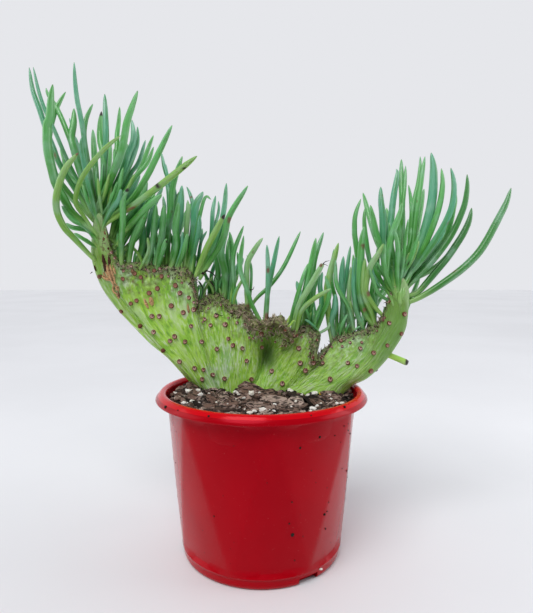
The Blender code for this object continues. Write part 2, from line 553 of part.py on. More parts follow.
def build_mix(coll, repeats, cutters):
    """Bark and perlite mix that fills the pot, with a plain hole for the crest's foot."""
    rng = random.Random(5)
    inner = WALL_TOP_RADIUS - POT_WALL - CLEAR - 0.5
    top = [(inner * share, MIX_TOP) for share in (0.2, 0.4, 0.6, 0.8, 1.0)]
    low = WALL_LOW_RADIUS - POT_WALL - CLEAR - 0.4
    profile = ([(0, POT_FLOOR + CLEAR), (47.0, POT_FLOOR + CLEAR), (FOOT_RADIUS - POT_WALL - CLEAR - 0.9, 4.6),
                (low, 8.4)] + top[::-1] + [(0, MIX_TOP)])
    mix = turned("potting_mix", profile, MIX_SIDES, coll)
    for vert in mix.data.vertices:
        if vert.co.z > (MIX_TOP - 1) * MM:
            x, y = vert.co.x / MM, vert.co.y / MM
            inside = math.hypot(x, y) < inner - 1
            vert.co.z = (mix_height(x, y) + (rng.uniform(-0.8, 0.8) if inside else -0.8)) * MM

    bm = bmesh.new()
    bmesh.ops.create_cone(bm, cap_ends=True, segments=7, radius1=14 * MM, radius2=6 * MM, depth=8 * MM,
                          matrix=frame_at(Vector((-7, 0, 108.6)), Vector((0.12, -0.1, 1)), (1, 0.45, 1)))
    golden = math.pi * (3 - math.sqrt(5))
    for k in range(CHIPS):
        radius = 54.0 * math.sqrt((k + 0.5) / CHIPS)
        x, y = math.cos(k * golden) * radius, math.sin(k * golden) * radius
        room = 2 * (59.4 - radius)
        perlite = k % 3 == 1
        if perlite:
            size = [rng.uniform(3.2, 4.8), rng.uniform(3.0, 4.2), rng.uniform(2.8, 3.6)]
        else:
            size = [min(rng.uniform(8, 17), room), min(rng.uniform(5, 9), room), rng.uniform(2.4, 4.2)]
        place = Vector((x, y, mix_height(x, y) + size[2] * (0.22 if perlite else 0.12)))
        lie = Vector((rng.uniform(-0.35, 0.35), rng.uniform(-0.35, 0.35), 1))
        spin = Matrix.Rotation(rng.uniform(0, math.pi), 4, "Z")
        made = bmesh.ops.create_cube(bm, size=MM, matrix=frame_at(place, lie) @ spin @ Matrix.Diagonal((*size, 1)))
        for vert in made["verts"]:
            vert.co = vert.co.lerp(place * MM, rng.uniform(0, 0.36))
    bmesh.ops.triangulate(bm, faces=bm.faces)
    mesh = bpy.data.meshes.new("chips")
    bm.to_mesh(mesh)
    bm.free()
    chips = bpy.data.objects.new("chips", mesh)
    repeats.objects.link(chips)
    split_loose(chips)
    boolean(mix, repeats, "UNION")
    hole = crest_body("hole", cutters, grow=CLEAR + 0.05, top=0.3)
    hole.display_type = "WIRE"
    boolean(mix, cutters, "DIFFERENCE")
    tidy(mix)
    paint(mix, "bark_mix", (0.055, 0.032, 0.022), 0.9)
    return mix


def build_crest(coll, repeats):
    """The crested stem with all its leaves, bristles, scars and the cut stub, in one body."""
    rng = random.Random(3)
    crest = crest_body("chalk_sticks", coll)
    bpy.context.view_layer.update()
    bm = bmesh.new()
    aims = [(VIEW, Vector((x, 0, z)) - VIEW) for x, z in SCARS]
    for k in range(BACK_SCARS):
        x = -84 + 160 * (k + 0.5) / BACK_SCARS
        z = 118 + 60 * ((k * 0.618) % 1) * (0.45 + 0.55 * abs(x) / 88)
        aims.append((Vector((x, 200, z)), Vector((0, -1, 0))))
    for start, way in aims:
        hit, place, normal, _ = crest.ray_cast(start * MM, way.normalized())
        if hit:
            bmesh.ops.create_cone(bm, cap_ends=True, segments=5, radius1=1.7 * MM, radius2=1.2 * MM,
                                  depth=1.6 * MM, matrix=frame_at(place / MM, normal))
    for k in range(BRISTLES):
        s = 5 + 33 * (k + rng.random()) / BRISTLES
        a, b = RIDGE[int(s)], RIDGE[int(s) + 1]
        x, z, y = (a[n] + (b[n] - a[n]) * (s % 1) for n in range(3))
        root = seen(x, z - rng.uniform(0, 5), y - 3)
        way = Vector((rng.uniform(-0.6, 0.6), rng.uniform(-1, -0.2), rng.uniform(0.2, 1))).normalized()
        length = rng.uniform(5, 8)
        bmesh.ops.create_cone(bm, cap_ends=True, segments=3, radius1=1.3 * MM, radius2=0, depth=length * MM,
                              matrix=frame_at(root + way * (length * 0.5 - 1), way))
    mesh = bpy.data.meshes.new("scars")
    bm.to_mesh(mesh)
    bm.free()
    scars = bpy.data.objects.new("scars", mesh)
    repeats.objects.link(scars)
    split_loose(scars)

    rows = [(row[0], row[1], tuple(zip(row[2::2], row[3::2]))) for row in LEAVES] + fill_leaves()
    stalks = [stalk(width, lean, flat_points) for width, lean, flat_points in rows]
    stalks.append(([seen(80, 133.5, 6), seen(90, 129.5, 6), seen(98, 126, 5)], [3.6, 4.0, 3.8]))
    sprout("leaves", stalks, repeats)
    boolean(crest, repeats, "UNION", "MANIFOLD")
    tidy(crest)
    paint(crest, "succulent_green", (0.1, 0.25, 0.07), 0.55)
    return crest


def main():
    """Build the three pieces in one collection."""
    for obj in list(bpy.data.objects):
        bpy.data.objects.remove(obj, do_unlink=True)
    parts = new_collection("potted_chalk_sticks")
    repeats = new_collection("repeats")
    cutters = new_collection("cutters", cutters=True)
    build_pot(parts, cutters)
    build_mix(parts, repeats, cutters)
    build_crest(parts, repeats)


if __name__ == "__main__":
    main()
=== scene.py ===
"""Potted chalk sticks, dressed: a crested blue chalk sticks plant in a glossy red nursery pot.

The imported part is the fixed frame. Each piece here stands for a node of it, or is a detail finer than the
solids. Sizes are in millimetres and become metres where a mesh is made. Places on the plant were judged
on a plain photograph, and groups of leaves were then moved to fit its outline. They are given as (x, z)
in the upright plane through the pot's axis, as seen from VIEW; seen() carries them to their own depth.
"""
import functools
import math
import random

import bmesh
import bpy
from bpy.props import FloatProperty, FloatVectorProperty, IntProperty, PointerProperty
from bpy.types import Operator, Panel, PropertyGroup
from mathutils import Matrix, Vector, noise
from mathutils.bvhtree import BVHTree


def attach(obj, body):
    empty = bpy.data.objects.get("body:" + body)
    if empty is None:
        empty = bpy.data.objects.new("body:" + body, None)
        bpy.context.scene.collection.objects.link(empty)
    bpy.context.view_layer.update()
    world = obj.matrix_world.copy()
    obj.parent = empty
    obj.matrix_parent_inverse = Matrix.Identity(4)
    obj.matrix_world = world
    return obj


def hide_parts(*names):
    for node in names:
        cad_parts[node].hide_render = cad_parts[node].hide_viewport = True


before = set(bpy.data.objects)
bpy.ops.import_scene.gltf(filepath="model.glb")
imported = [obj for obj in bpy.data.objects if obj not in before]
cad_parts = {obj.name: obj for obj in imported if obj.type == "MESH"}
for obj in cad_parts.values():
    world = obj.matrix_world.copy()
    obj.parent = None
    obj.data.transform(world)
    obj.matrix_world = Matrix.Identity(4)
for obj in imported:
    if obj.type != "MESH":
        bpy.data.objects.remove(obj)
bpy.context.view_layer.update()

bl_info = {
    "name": "Potted chalk sticks",
    "version": (1, 0, 0),
    "blender": (4, 5, 0),
    "location": "View3D > Sidebar > Plant",
    "description": "Models a crested chalk sticks plant in a red nursery pot, with its floor and light",
    "category": "Add Mesh",
}

MM = 0.001
BODY = "root"

# The eye of the photograph, as fitted to it: its place, its tilt up from straight down, its lens and sensor.
VIEW = Vector((3.3, -345.0, 190.0))
VIEW_TILT = math.radians(85.7)
LENS = 30.54
SENSOR = 36

# Pot: its sides, where its faceted wall starts and how far it rises, where its rim starts, whose red is
# painted brighter as lit plastic, then the angle, radius, level and size of its slots.
POT_SIDES = 168
WALL_FOOT = 7.6
WALL_RISE = 95.8
RIM_FROM = 106.35
SLOT_ANGLE = math.radians(-90 + 33.4)
SLOT_RADIUS = 52.6
SLOT_LEVEL = 1.4
SLOT_SIZE = (9, 14, 6)

# Mix: radii up to which bark and grains are spread, radii they stay inside, and the top of the loose grains.
BARK_SPREAD = 60.6
BARK_LIMIT = 61.2
GRAIN_SPREAD = 59.5
GRAIN_LIMIT = 61
GRAIN_TOP = 108.6

# Crest, as in the solids: its sizes, its side outlines, then the growing ridge with its depth y.
FOOT_LEFT = -42.0
FOOT_RIGHT = 57.5
FOOT_LEVEL = 107.0
FOOT_DEPTH = (16.0, 4.5)
FOOT_THICK = 19.0
RIDGE_THICK = 9.0
ARM_THICK = 13.0
BURIED = 30.0
FOOT_MIDDLE = (7.75, 10.2)
FOOT_SHRINK = 0.85
HOLLOW_X = 9.0
HOLLOW_WIDE = 9.0
HOLLOW_DEPTH = 10.0
LEFT_EDGE = -113
RIGHT_EDGE = 98
LEFT_SIDE = ((-42, 107), (-50, 115), (-63, 130), (-74.4, 140), (-83.8, 150), (-97, 165), (-107, 180),
             (-112.2, 195), (-113.4, 206), (-111.5, 222))
RIGHT_SIDE = ((57.5, 107), (61.5, 111.2), (71.5, 117), (82, 128), (90, 140), (96, 152), (97.6, 163),
              (98.3, 176))
RIDGE = ((-111, 217, 8), (-108, 224, 8), (-104.5, 223.5, 8), (-101.5, 213, 8), (-98.8, 203, 9),
         (-93.5, 194, 11), (-82, 192.5, 14), (-70, 191, 16), (-58, 190.5, 15), (-49, 189.5, 13),
         (-45, 186, 12), (-45.6, 178, 13), (-45.6, 170.5, 14), (-41, 168, 16), (-34.5, 172, 19),
         (-27, 171.5, 19), (-21, 167.5, 16), (-16, 164.8, 14), (-11, 165, 11), (-8, 159.5, 9),
         (-5, 155.5, 7), (0, 154.5, 3), (6, 155.5, -2), (11.5, 157, -5), (16, 153, -4),
         (18.5, 147.5, 1), (21.5, 149, 7), (27, 151.2, 11), (33, 151, 10), (37.5, 147, 6),
         (37, 140.5, 3), (36.8, 131, 4), (41.4, 132, 9), (45.2, 137.6, 12), (50, 143.3, 13),
         (60, 146, 13), (70, 148.8, 11), (78, 153, 10), (82.5, 161, 9), (85.5, 172, 8),
         (89, 180.5, 7), (93, 182.5, 7), (96.5, 178.5, 7), (98.2, 171, 7))
LAST = len(RIDGE) - 1

# Named values that the corners of the stem, the leaves and the scars carry to their materials.
STEM_VALUES = ("crust", "olive", "brown", "fold_shade", "tip", "rust")
LEAF_VALUES = ("seed", "dark", "rust")
SCAR_VALUES = ("tone", "face", "pit")

# Leaves: tone, width, lean of the tip away from the viewer, then x, z from root to tip. The leaf whose tone
# is cut is pale and has lost its tip.
LEAVES = (
    # left head
    ("blue", 3.2, 16, -110.6, 222, -121.5, 240, -131.3, 256.6, -135.3, 267.5, -139.6, 278.9, -143.4, 291.5,
     -147.5, 304.1, -149.3, 318.2),
    ("blue", 2.6, 10, -110.2, 222, -117.5, 241, -126.5, 259.8, -134.4, 278.9, -140, 291.5, -143.7, 303.5,
     -146.7, 318.5),
    ("green", 5.4, -12, -110.4, 217, -121.9, 223.8, -126.1, 228.6, -129.2, 234.6, -132.3, 240, -134.9, 245.9,
     -136.3, 252.3, -138, 260.3, -139.1, 268.3, -139.1, 276.2, -138.6, 283.1, -137.3, 285.2, -136.5, 291.5,
     -135.9, 299, -134.5, 307.6),
    ("olive", 4, -20, -111.8, 196.4, -122.9, 208.5, -130.1, 216.8, -134.5, 228.4, -133.4, 240.4, -128.1,
     253.9, -119.3, 264.4),
    ("green", 3.3, 18, -110, 220, -125.5, 238, -135.5, 252, -138.5, 265, -137, 279, -133.5, 290.5, -129.6,
     297.8, -126.3, 302.9),
    ("green", 3.1, 22, -109, 222, -118.5, 256, -124.8, 273.8, -129, 285.2, -132.7, 293.4, -137.6, 301,
     -138.9, 305.4),
    ("blue", 2.3, 30, -107.5, 222, -118.4, 249.8, -121.6, 266.2, -122.5, 278.9, -124.3, 286.5),
    ("blue", 3.1, 4, -107.5, 222, -112, 245, -114.2, 259.8, -115.1, 272.5, -116.7, 285.2, -119, 297.8,
     -120.1, 310.4, -120.3, 321.5),
    ("green", 3.1, 18, -107.5, 222, -113.1, 259.4, -115, 275.3, -113.7, 284.9, -111.5, 290.4, -108.9, 295.3),
    ("green", 4.4, 12, -107.5, 222, -117.5, 250.4, -121.8, 266.4, -123.4, 274.1, -121.6, 283.5, -121.2,
     292.5),
    ("blue", 2.8, -8, -108, 222, -113.7, 246.8, -116.1, 259.7, -117.3, 269, -115.8, 275.8),
    ("olive", 3.1, -26, -110, 213.5, -116.4, 223.1, -121.8, 232.3, -119.6, 243.4, -113.2, 254.3, -102, 266.9,
     -91.5, 275.4),
    ("green", 4, 20, -105.5, 222, -102.7, 257.8, -104.7, 272.1, -104.6, 280.9, -103.5, 290.6),
    ("blue", 3.7, 14, -105, 222, -103, 249.9, -101, 272.1, -100.9, 288, -101.1, 301.6),
    ("green", 2.8, 28, -104.5, 222, -95.1, 259.7, -93.7, 275.8, -92.5, 283.6, -91.6, 293.5),
    ("green", 4.6, 2, -106, 219, -107, 229.2, -102.9, 238.3, -99.5, 245.3, -95.8, 253.4, -92.3, 261.4, -90,
     269.4, -88.4, 277.3, -86.7, 285.2, -79.8, 303.6),
    ("blue", 4.2, 12, -104, 220, -102.6, 230.3, -98, 238.3, -93.5, 246.9, -89.5, 255.5, -86.6, 264, -83.7,
     270.9, -83.1, 277.3, -83.9, 285.2),
    ("blue", 2.9, 22, -103, 221, -91, 245.8, -84.5, 259.6, -80.7, 270.7, -80.3, 281),
    ("blue", 2.8, 26, -102.5, 221, -88.4, 246.8, -80.2, 258.2, -75.3, 272.5),
    ("green", 2.9, 16, -102, 220, -84.5, 246.4, -74.6, 257.7, -70.1, 268.1),
    ("green", 3.6, -4, -102, 220, -85.9, 233.6, -75.7, 247.8, -67.8, 262.5, -57.9, 281.9),
    ("olive", 4.1, -24, -102.5, 222, -85.8, 229.3, -67.2, 242.7, -52.5, 254.2, -42, 262.3),
    ("green", 4.2, -14, -91, 213, -78.9, 225.7, -72.1, 232.1, -65.3, 237.6),
    ("blue", 3.1, -16, -104, 221, -98.3, 227.6, -93.4, 234.4, -91.8, 241.1),
    ("green", 3.6, -18, -92.7, 194, -92.3, 208, -91, 221, -90.7, 234.6, -86.7, 242.1),
    ("green", 2, 6, -105.5, 223, -107.9, 244.5, -107.6, 255.6),
    ("green", 3.3, -6, -110.5, 212, -115.5, 216.7, -124.1, 221.6, -131, 230.3),
    ("green", 3, 2, -110.5, 209, -113.9, 214, -124.3, 216.2, -128.6, 218.9),
    ("green", 2.4, -10, -111, 204, -114.1, 206.9, -119, 209.6, -122.7, 211.8),
    ("green", 2.4, -16, -111.5, 206, -118.2, 209.2, -123.1, 212.4),
    ("green", 2.5, 6, -104, 220, -101.1, 240.2, -95.9, 253.9, -96, 267),
    ("green", 3.6, 30, -107, 217, -114, 239.2, -125.6, 250.3, -129.5, 263),
    ("green", 3.6, 12, -99, 212, -94.9, 226.2, -89.6, 240.1, -83.4, 254),
    ("blue", 3.6, 14, -98, 208, -92.6, 222.1, -86.6, 236.1, -79.2, 249.9),
    ("green", 4.4, 8, -97, 203, -90.8, 216.2, -82.3, 229.5, -74.5, 245.6),
    ("green", 3.6, 4, -95.5, 199, -88, 211.8, -82.4, 222, -74.3, 231.3),
    ("green", 4.4, -2, -94, 206, -86.8, 217, -78.2, 225.8, -69.7, 237.8),
    ("green", 3.6, 6, -92, 201, -82.4, 209.5, -77.5, 220.6, -73.2, 235.9),
    ("blue", 3.5, 10, -90, 197, -82.5, 211.7, -78.9, 227.9, -74.7, 244.7),
    # left lobe of the ridge
    ("green", 3.9, 4, -67, 190, -66, 205.5, -60.1, 225.1, -57.8, 243.7, -51.5, 262.2),
    ("blue", 2.9, 14, -64, 190, -60, 222.4, -57, 238.5, -62.5, 252.1, -65.2, 264.7),
    ("blue", 3, 20, -62, 190, -60.5, 230.4, -61.6, 246.3, -62.3, 256.9),
    ("blue", 4.2, -4, -60, 190, -56.4, 208.5, -53.5, 224.5, -52, 243.4),
    ("green", 2.7, 8, -63, 190, -61.6, 212.8, -56.9, 229.6, -54.1, 239.3),
    ("pale", 3.3, 0, -51, 190, -49.7, 210.5, -48.2, 226.4, -48.3, 233.9),
    ("blue", 3, 10, -52, 190, -46.7, 208.4, -44.9, 228.4, -46.6, 237.3, -48.9, 242.6),
    ("blue", 5, 2, -49, 189, -44.6, 208.3, -43.5, 228.5, -38.2, 239.4),
    ("green", 2.5, -6, -46, 188, -43.2, 210.6, -38.9, 230.3, -36.2, 236.2, -33, 234.4),
    ("blue", 1.9, 16, -43, 187, -40, 206.5, -38.9, 215.6),
    ("blue", 2, 12, -43, 187, -40.3, 205, -36, 213.9),
    ("blue", 2.9, 12, -41, 186, -33.6, 208.2, -32, 226.5, -30, 236.8),
    ("blue", 2, 20, -39, 186, -32, 212.5, -28.2, 226.3, -28.2, 233.4),
    ("blue", 3.5, 6, -41, 186, -29.9, 208, -24.7, 227.4, -22.9, 244.9),
    ("green", 3.5, -12, -40, 184, -26.8, 206.1, -21, 223.9, -8.9, 243.3),
    ("olive", 3.7, -14, -43, 186, -37.2, 200.3, -31.5, 211.4, -24.2, 224.7),
    ("green", 3.9, -10, -88, 191, -85.5, 205.7, -79.3, 220.3, -71.9, 237.8),
    ("blue", 4.2, 2, -83, 191, -78, 207.1, -78.4, 222.8, -69.5, 239.4),
    ("blue", 3.3, 18, -79, 191, -75.5, 210.4, -71.2, 228.5, -64.4, 242.5),
    ("green", 3.7, -6, -76, 190, -72.1, 204.2, -70.3, 218.5, -69.2, 231.5),
    ("blue", 3, 10, -73, 190, -70.9, 210.7, -64.1, 225.9, -64.3, 236.4),
    ("green", 4.1, -8, -70, 190, -67, 203.4, -65, 216.5, -64, 230.9),
    ("green", 4.5, -10, -60, 190, -55.9, 203.1, -56.5, 216.4, -54.3, 232.3),
    ("green", 2.9, -12, -55, 190, -51.2, 201.2, -48.5, 212.4),
    ("blue", 2.5, -10, -57, 190, -52.3, 202.2, -51.9, 213.5),
    ("green", 2.9, -14, -69, 189, -65.2, 200.8, -62.6, 208.9),
    ("olive", 2.2, -14, -80, 190, -74.6, 200.5, -75, 209.6),
    ("blue", 3.3, -6, -47, 188, -44.3, 202.4, -41.5, 213.4, -40.5, 224.4),
    # second lobe
    ("green", 4.6, -4, -25, 168, -24.1, 185.5, -26.7, 200.5, -21.2, 222.1),
    ("green", 3.6, 6, -20, 166, -20, 182.4, -19, 198.4, -21, 213.4),
    ("green", 3.2, -2, -18, 164, -18.3, 180.4, -18.4, 198.6, -11.8, 217.3),
    ("blue", 2.8, 14, -32, 170, -33.2, 184.4, -28.5, 197, -27.6, 206.4),
    ("green", 3.2, 8, -29, 170, -28.8, 184.4, -29.3, 198.4, -25.6, 211.2),
    ("green", 2.8, 14, -23, 167, -21.8, 184.5, -22.4, 200.5, -20.4, 211.9),
    ("green", 2.6, 10, -20, 166, -18.8, 180.7, -14.9, 190.1, -16, 200),
    ("pale", 3.4, 2, -9.5, 163, -9.8, 180.4, -9, 193.4, -3.3, 203.8, 0.9, 209.4),
    ("green", 1.8, 8, -8.5, 163, -7, 177.4, -6.9, 190.4, -9.7, 198.1),
    ("green", 2.8, 16, -8.5, 162, -2.9, 169.9, 5.5, 177.9, 15, 191.1, 25.7, 213.7),
    # shoot beside the ear
    ("green", 2.8, 6, 1.2, 151, -6.1, 164.6, -10.1, 176.7, -14.2, 190.4, -11.7, 210.9),
    ("blue", 2.7, -4, 3, 151, 3.9, 170.4, 4.3, 188.4, 3.6, 204.9),
    ("blue", 2.8, 4, 2, 151, 3.8, 170.6, 7.3, 189.4, 11.7, 210.6),
    # third lobe
    ("green", 2.7, 8, 18, 150, 22.9, 168.3, 27.9, 184.6, 31.2, 192.9),
    ("green", 3.4, 4, 24, 149, 28, 170.5, 32.8, 192.4, 35.9, 209.4),
    ("green", 3.4, 10, 27, 149, 32.7, 176.2, 35.2, 195.7, 40.8, 213),
    ("cut", 3.8, -12, 21, 150, 24.7, 164.2, 30.3, 174.4, 40.4, 192.2),
    ("olive", 2.8, -14, 23.5, 149, 26.4, 160.5, 34.7, 169, 46.1, 176),
    ("blue", 3.2, 14, 34, 148, 39.8, 164.3, 38.8, 178.5, 40.3, 187),
    ("green", 3, 16, 30, 150, 33.3, 165.3, 35.2, 177.3, 38.4, 186.3),
    ("green", 3, 2, 36, 146, 40.5, 158.5, 45, 172.2, 42.2, 184.5),
    ("blue", 1.6, -6, 37, 148.5, 33.1, 152.6, 28.9, 155.4),
    ("pale", 1.7, 4, 38, 146, 44.4, 149.9, 44.9, 154.1),
    # right lobe
    ("olive", 4.1, -2, 47, 141, 44.5, 160, 43.8, 178.2, 50.7, 206.1),
    ("blue", 3.8, 6, 54, 143, 54.7, 162, 53, 180, 54.1, 197.3),
    ("blue", 2.7, 12, 52, 143, 54, 167.9, 56.5, 187.9, 58.7, 204.1),
    ("green", 3.2, 4, 65, 145, 64.2, 165.1, 61.5, 185.1, 60.5, 198.5),
    ("pale", 3.0, 10, 58, 144, 58, 164, 58.3, 178, 59.1, 190.5),
    ("green", 2.5, -6, 62, 145, 57.9, 162.8, 50, 177.9, 48.9, 195.1),
    ("blue", 4.0, -2, 48.5, 141, 46.4, 154, 48.8, 163, 49, 172.5),
    ("green", 2.8, 10, 50, 142, 49.7, 165.2, 46.3, 182, 47.7, 202),
    ("blue", 3.4, -2, 69, 147, 63.6, 160, 61.6, 175, 61.6, 188, 62.2, 197),
    ("green", 3.3, 4, 72, 152, 64.7, 188.3, 62.9, 201, 62, 207.1, 61.3, 211.7, 61.2, 216.4, 61.3, 222, 62.5,
     227.6, 63.9, 231.3, 65.1, 234.7),
    ("green", 3.2, 14, 76, 150, 73.1, 170, 76.2, 190, 76.8, 204),
    ("olive", 3.4, -8, 76, 150, 72.9, 160.3, 67.7, 174.2, 68.4, 196),
    # right head
    ("green", 3, 8, 84.4, 176, 72.7, 192.2, 71, 196.9, 69.9, 201.6, 68.9, 208.6, 68.1, 213.7, 67.6, 219.3,
     67.6, 224.9, 68.4, 230),
    ("green", 3.8, 2, 86, 182, 79.6, 199.2, 77.7, 205.3, 76.4, 209.1, 75, 214.2, 73.6, 220.7, 72.3, 226.3,
     71.5, 230.7),
    ("blue", 4.1, 8, 87, 182, 80.5, 203.9, 80, 212.8, 79.7, 220.3, 79.2, 226.8, 78.5, 231.9, 78.1, 237.4, 78,
     242.5),
    ("green", 3, 14, 88, 184, 84.7, 206.3, 84.1, 212.3, 82.8, 218.4, 81.6, 224, 80.3, 229.5),
    ("blue", 3.9, 14, 88, 183, 83.7, 207.2, 84.2, 212.8, 84.8, 218.4, 85.4, 224.9, 86, 231.9, 86.9, 238.8,
     88, 245.7, 88.7, 251.7, 88.1, 253.9),
    ("green", 3.6, 20, 89.6, 184, 91, 215.2, 92.2, 231.4, 91.4, 245.8, 91.2, 260.2),
    ("green", 2.6, 16, 89.8, 184, 91.9, 222.4, 93.6, 242.9, 94, 256),
    ("green", 4.3, -14, 87.8, 178.5, 83.5, 178, 82.5, 185.1, 82.7, 192.2, 83.5, 199.2, 84.7, 205.8, 86.2,
     211.9, 88, 217.5, 90.1, 223, 91.4, 227.7, 92.2, 232.3),
    ("green", 2.5, 24, 90, 184, 97.7, 206.2, 98.4, 219.3, 98.3, 228.4, 97.6, 236.2, 96.2, 243.7),
    ("green", 2.8, 20, 89, 182, 95.9, 196.4, 97.4, 204.2, 98, 214, 98.8, 225.8, 100.5, 235.5, 102.5, 245.1,
     103.5, 255.5, 103.4, 262),
    ("green", 3, 16, 90, 182, 97.3, 196.7, 100, 204.2, 100.8, 212.7, 101.9, 225.8, 103, 235.5, 104.3, 245.1,
     105.6, 255.5, 106.5, 262),
    ("green", 2.2, -8, 90.5, 180, 93.7, 191.8, 94.2, 199.7, 95.1, 210.2, 96.4, 221.7),
    ("blue", 5.5, 8, 92, 180, 98.1, 187.1, 101.2, 195.7, 104.4, 204.9, 108, 216, 110.4, 225.8, 111.9, 235.5,
     112.4, 245.1, 112.1, 255.5, 110.5, 264.4),
    ("green", 3.9, 4, 93, 180, 100, 189.8, 105.1, 199, 109.5, 208.8, 113.5, 219.3, 116.2, 228.4, 117.9,
     237.4, 118.4, 245.8, 117.4, 254.3),
    ("blue", 3.8, 0, 94.5, 180, 96.8, 184.2, 102, 190.1, 107.5, 197.7, 113.1, 206.2, 118, 214, 122.3, 222.5,
     125.1, 230.9, 126, 240.6, 125.3, 247.8, 123.5, 254.7),
    ("green", 3.2, 10, 95, 179, 96.9, 179.2, 103.4, 186.2, 110.5, 194.7, 116.9, 203.3, 121.9, 210.8, 124.3,
     219.3, 126.1, 228.4, 127.1, 234.2, 126.6, 241.3),
    # The three outermost leaves below are painted a darker green as shade.
    ("deep", 3.6, 4, 95.5, 178, 97.6, 177.9, 104.1, 184.2, 110.5, 191.1, 116.3, 198.3, 122, 206.2, 126.5,
     214, 130.5, 223.2, 133.4, 232.2, 134.6, 242.6, 134.3, 250.5),
    ("deep", 4.2, 10, 97.6, 171.4, 103, 172.9, 109.5, 179.9, 115.9, 187.8, 122.3, 195.7, 128, 204.2, 133.1,
     212.7, 136.6, 221.3, 137.9, 228.9),
    ("deep", 4.9, 6, 97.4, 166.8, 103.1, 169.1, 111.6, 173.9, 121.4, 180.4, 130.5, 187.1, 137.9, 193.7, 144,
     200.6, 148.7, 208.2, 152.4, 215.4, 156.4, 223.5, 160.5, 232.3, 163.3, 241.8),
    ("olive", 3.3, -18, 79.6, 159.2, 74.6, 164.8, 69.4, 174.2, 69.9, 182.8, 70.9, 187.5, 72.8, 192.2, 75.4,
     196.4, 78.3, 201.1, 80.5, 205.6),
    ("green", 4.6, -6, 75, 151.5, 69, 159.2, 65.8, 171.2, 65.1, 183.2, 65.6, 195.2, 66, 206.2, 67.6, 216.8),
    ("blue", 1.7, -10, 86, 174, 78.3, 177.5, 74.1, 185.5, 71.8, 195),
    ("green", 2.2, -12, 87, 167, 78, 172.2, 74.3, 180.6, 71.4, 189.4),
    ("green", 3.4, -16, 86.5, 177, 82.4, 184.6, 80.6, 195.3, 81.3, 205.2),
    ("green", 3, -12, 90, 178, 89.6, 189.3, 90, 202.4, 88.1, 213.7),
    ("green", 2.6, 20, 96, 160, 99.4, 170.6, 101, 173.9, 103, 179.2, 104.7, 184.3),
)

# Width along a leaf, root to tip: a plain one, one whose base clasps an arm, and the one with a lost tip.
LEAF_PROFILE = ((0, 0.6), (0.06, 0.72), (0.18, 0.9), (0.35, 1.03), (0.6, 1.06), (0.78, 1), (0.88, 0.86),
                (0.945, 0.62), (0.982, 0.36), (1, 0.1))
SHEATH_PROFILE = ((0, 0.3), (0.06, 0.55), (0.14, 0.72), (0.24, 0.88)) + LEAF_PROFILE[3:]
CUT_PROFILE = ((0, 0.7), (0.2, 0.95), (0.6, 1.05), (0.9, 0.95), (0.985, 0.8), (1, 0.6))

# Leaves added behind each head, half width of a leaf as a share of the given one, and rings along a grown
# leaf, one added behind them and a young one.
HEAD_FILL = 7
LEAF_HALF = 0.565
GROWN_RINGS = 34
FILL_RINGS = 24
YOUNG_RINGS = 12

# Roots beyond these (x, z) are in the heads at the tips of the arms. Their clasping leaves run toward the
# middles.
LEFT_HEAD = (-98, 205)
LEFT_MIDDLE = -104
RIGHT_HEAD = (84, 174)
RIGHT_MIDDLE = 92.4

# Brown marks on leaves: x, z, reach and kind.
MARKS = (
    (-68, 243.2, 2.6, "dark"), (-50, 255, 1.4, "dark"), (-88, 227, 2.4, "rust"), (-84, 229, 1.4, "rust"),
    (-88, 240.5, 2.0, "dark"), (-119.4, 264, 2.6, "rust"), (-103.8, 290, 3.0, "dark"),
    (-24.4, 223.6, 3.2, "dark"),
    (-21, 221.2, 2.4, "rust"), (4.3, 188, 1.8, "rust"), (67, 204, 2.0, "rust"), (123.5, 220, 2.0, "rust"),
    (127, 186.5, 2.0, "rust"), (83.5, 201, 1.6, "rust"), (68.5, 162, 2.0, "rust"), (71, 172.5, 2.0, "rust"),
    (97, 193, 1.6, "dark"), (-134, 262, 1.6, "rust"), (-46, 236, 1.2, "rust"), (39.2, 191.4, 1.8, "rust"),
    (1.6, 153, 5.0, "rust"), (3.2, 156, 5.0, "rust"), (-8.8, 164, 3.0, "rust"), (-62, 207, 1.4, "dark"),
)

# Leaf scars on the viewer's side.
SCARS = ((-107, 184), (-92, 182.5), (-84, 186), (-80, 183.5), (-71, 188), (-66, 184), (-57, 178),
         (-69, 176), (-54, 173), (-74.5, 173), (-48, 170), (-87, 166), (-83, 168), (-60, 164.5),
         (-45, 162), (-52, 160), (-93, 161), (-73, 157.5), (-68, 157.5), (-38, 155.5), (-30, 158),
         (-47, 151), (-34, 151.5), (-24, 152), (-81, 151), (-72, 147), (-58, 144), (-61, 141),
         (-51, 140.5), (-40, 140.5), (-22, 142.5), (-19, 138), (-30, 135.5), (-13, 136), (0, 137),
         (-66, 134.5), (-10, 127.5), (-55, 127), (-45, 122.5), (-39, 121.5), (-33, 118), (-40, 115),
         (-25, 115.5), (-7, 115), (7, 120.5), (14, 112), (0, 146.5), (20, 141), (25, 136), (26, 126),
         (29.5, 121), (35, 126), (41, 126), (46, 115), (53, 141), (58, 126), (64, 124), (66, 136),
         (75, 133), (84, 138), (85, 153), (93, 146), (95, 159), (73, 121))
BACK_SCARS = 46
RIDGE_SCARS = 48

